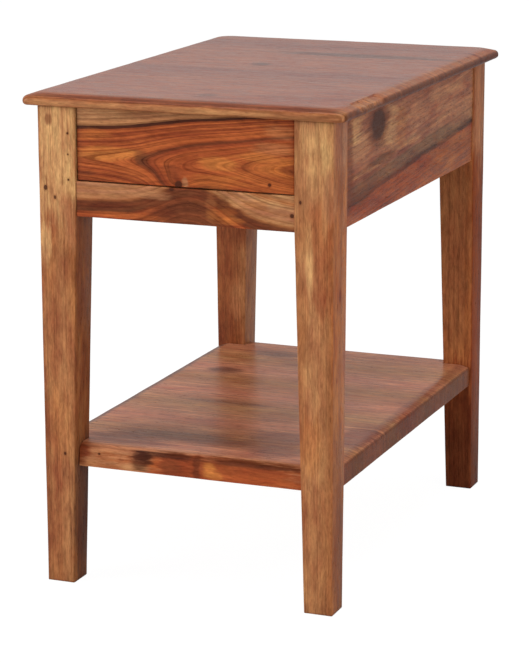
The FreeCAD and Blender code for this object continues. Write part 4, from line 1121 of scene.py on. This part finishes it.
# The shelf's lilac bands are lighter than its wood: painted light for the light it misses under the top.
make_shelf(
    (
        (-290, TAN), (-250, LILAC_WITH_PAINTED_LIGHT), (-200, TAN), (-130, LILAC_WITH_PAINTED_LIGHT), (-60, BISCUIT), (0, LILAC_WITH_PAINTED_LIGHT), (70, TAN),
        (120, LILAC_WITH_PAINTED_LIGHT), (180, TAN), (290, LILAC_WITH_PAINTED_LIGHT),
    ),
    seed=10.4, contrast=0.28, lines=0.45, fibre=0.36, clouds=1.0, polish=0.08, lacquer=0.3,
    sheen_above=13.5, end_grain=0.92,
    stains=(
        ((-100, -245, 14), (60, 24, 16), SHADE, 0.5), ((-20, -212, 14), (85, 22, 16), SHADE, 0.55),
        ((75, -175, 14), (40, 38, 16), HEATHER, 0.6), ((92, -228, 14), (36, 26, 16), HEATHER, 0.6),
        ((158, -130, 14), (26, 50, 16), HEATHER, 0.7), ((-50, -42, 14), (60, 10, 16), SHADE, 0.5),
        ((-115, 110, 14), (24, 16, 16), SHADE, 0.75), ((-85, 218, 14), (32, 20, 16), SHADE, 0.55),
        ((-181, 0, 12), (12, 500, 16), SHADE, 0.8), ((172, 60, 14), (8, 300, 16), HEATHER, 0.5),
        ((0, -290, -4), (600, 12, 30), HAZEL, 0.9), ((50, -286, -4), (140, 16, 26), EMBER, 0.95),
        ((60, -286, -2), (160, 16, 22), RUSSET, 0.45), ((-72, -281, -9), (20, 10, 5), BISCUIT, 0.8),
        ((-42, -281, -2), (17, 10, 10), ORANGE, 0.7), ((-20, -281, 0), (24, 10, 22), RUSSET, 0.95),
        ((-24, -281, -4), (14, 10, 12), CHESTNUT, 0.6), ((-26, -284, 11), (44, 14, 6), UMBER, 0.8),
        ((-60, -281, 5), (15, 10, 8), UMBER, 0.9), ((-63, -281, 0), (14, 10, 12), UMBER, 0.8),
        ((8, -281, -1), (8, 14, 26), RUSSET, 0.9), ((9, -281, 2), (5, 14, 20), UMBER, 0.5),
        ((25, -281, -2), (9, 10, 9), YELLOW, 0.75), ((33, -281, -9), (10, 10, 7), YELLOW, 0.6),
        ((95, -281, -8), (50, 10, 6), ORANGE, 0.5), ((85, -283, 11), (90, 13, 5.5), CHESTNUT, 0.9),
        ((85, -283, 11), (70, 13, 4), UMBER, 0.5), ((102, -281, 4), (24, 14, 2.4), RUSSET, 0.8),
        ((-143, -281, 4), (13, 14, 14), RUSSET, 0.9), ((186, -19, 4), (14, 40, 16), EMBER, 0.7),
        ((186, 125, 4), (10, 30, 16), TAN, 0.6),
    ),
    knots=(((-118, -281, 3), (1.6, 6, 1.4)),),
)
make_top(
    (
        (-300, CINNAMON), (-270, ROSE), (-120, ROSE), (-40, HEATHER), (0, ROSE), (140, ROSE),
        (220, HEATHER), (300, ROSE),
    ),
    seed=11.8, contrast=0.34, lines=0.7, fibre=0.4, clouds=1.0, polish=0.12, lacquer=0.48,
    sheen_above=7.3, end_grain=0.75,
    stains=(
        ((60, 146, 8), (130, 19, 20), SHADE, 0.85), ((-30, 27, 8), (14, 15, 20), SHADE, 0.85),
        ((12, -242, 8), (16, 14, 20), SHADE, 0.75), ((130, -225, 8), (60, 10, 20), SHADE, 0.4),
        # The chestnut band at -294 is the front slope's darker wood and painted shade on the slope.
        ((0, -306, -5), (600, 10, 9), TAN, 0.9), ((40, -294, 6), (300, 11, 5), CHESTNUT, 0.95),
        # The tan at 200 lightens the right border slope: painted sheen for the lacquer haze that it lacks.
        ((200, -60, 6), (14, 400, 10), TAN, 0.4), ((108, -252, 8), (105, 34, 20), RUSSET, 0.65),
        ((166, -205, 8), (32, 50, 20), RUSSET, 0.6), ((198, -212, 3), (16, 40, 14), TAN, 0.7),
        ((185, 240, 8), (24, 70, 16), EMBER, 0.2),
    ),
)


# Inner parts, which keep their solids and take a finish

steel = screw_steel()
for name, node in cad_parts.items():
    if node.hide_render:
        continue
    if name.endswith(("_screws", "_screw", "_nails")):
        finish = steel
    elif name == "drawer_bottom":
        finish = plywood(name)
    else:
        finish = wood(name, run_of_grain(name), ((-60, SEASONED), (0, BEECH), (60, SEASONED)),
                      seed=len(name) * 1.7, contrast=0.2, lines=0.4, clouds=0.6, lacquer=0.0)
    node.data.materials.clear()
    node.data.materials.append(finish)

view = bpy.context.scene.view_settings
view.view_transform = "Standard"
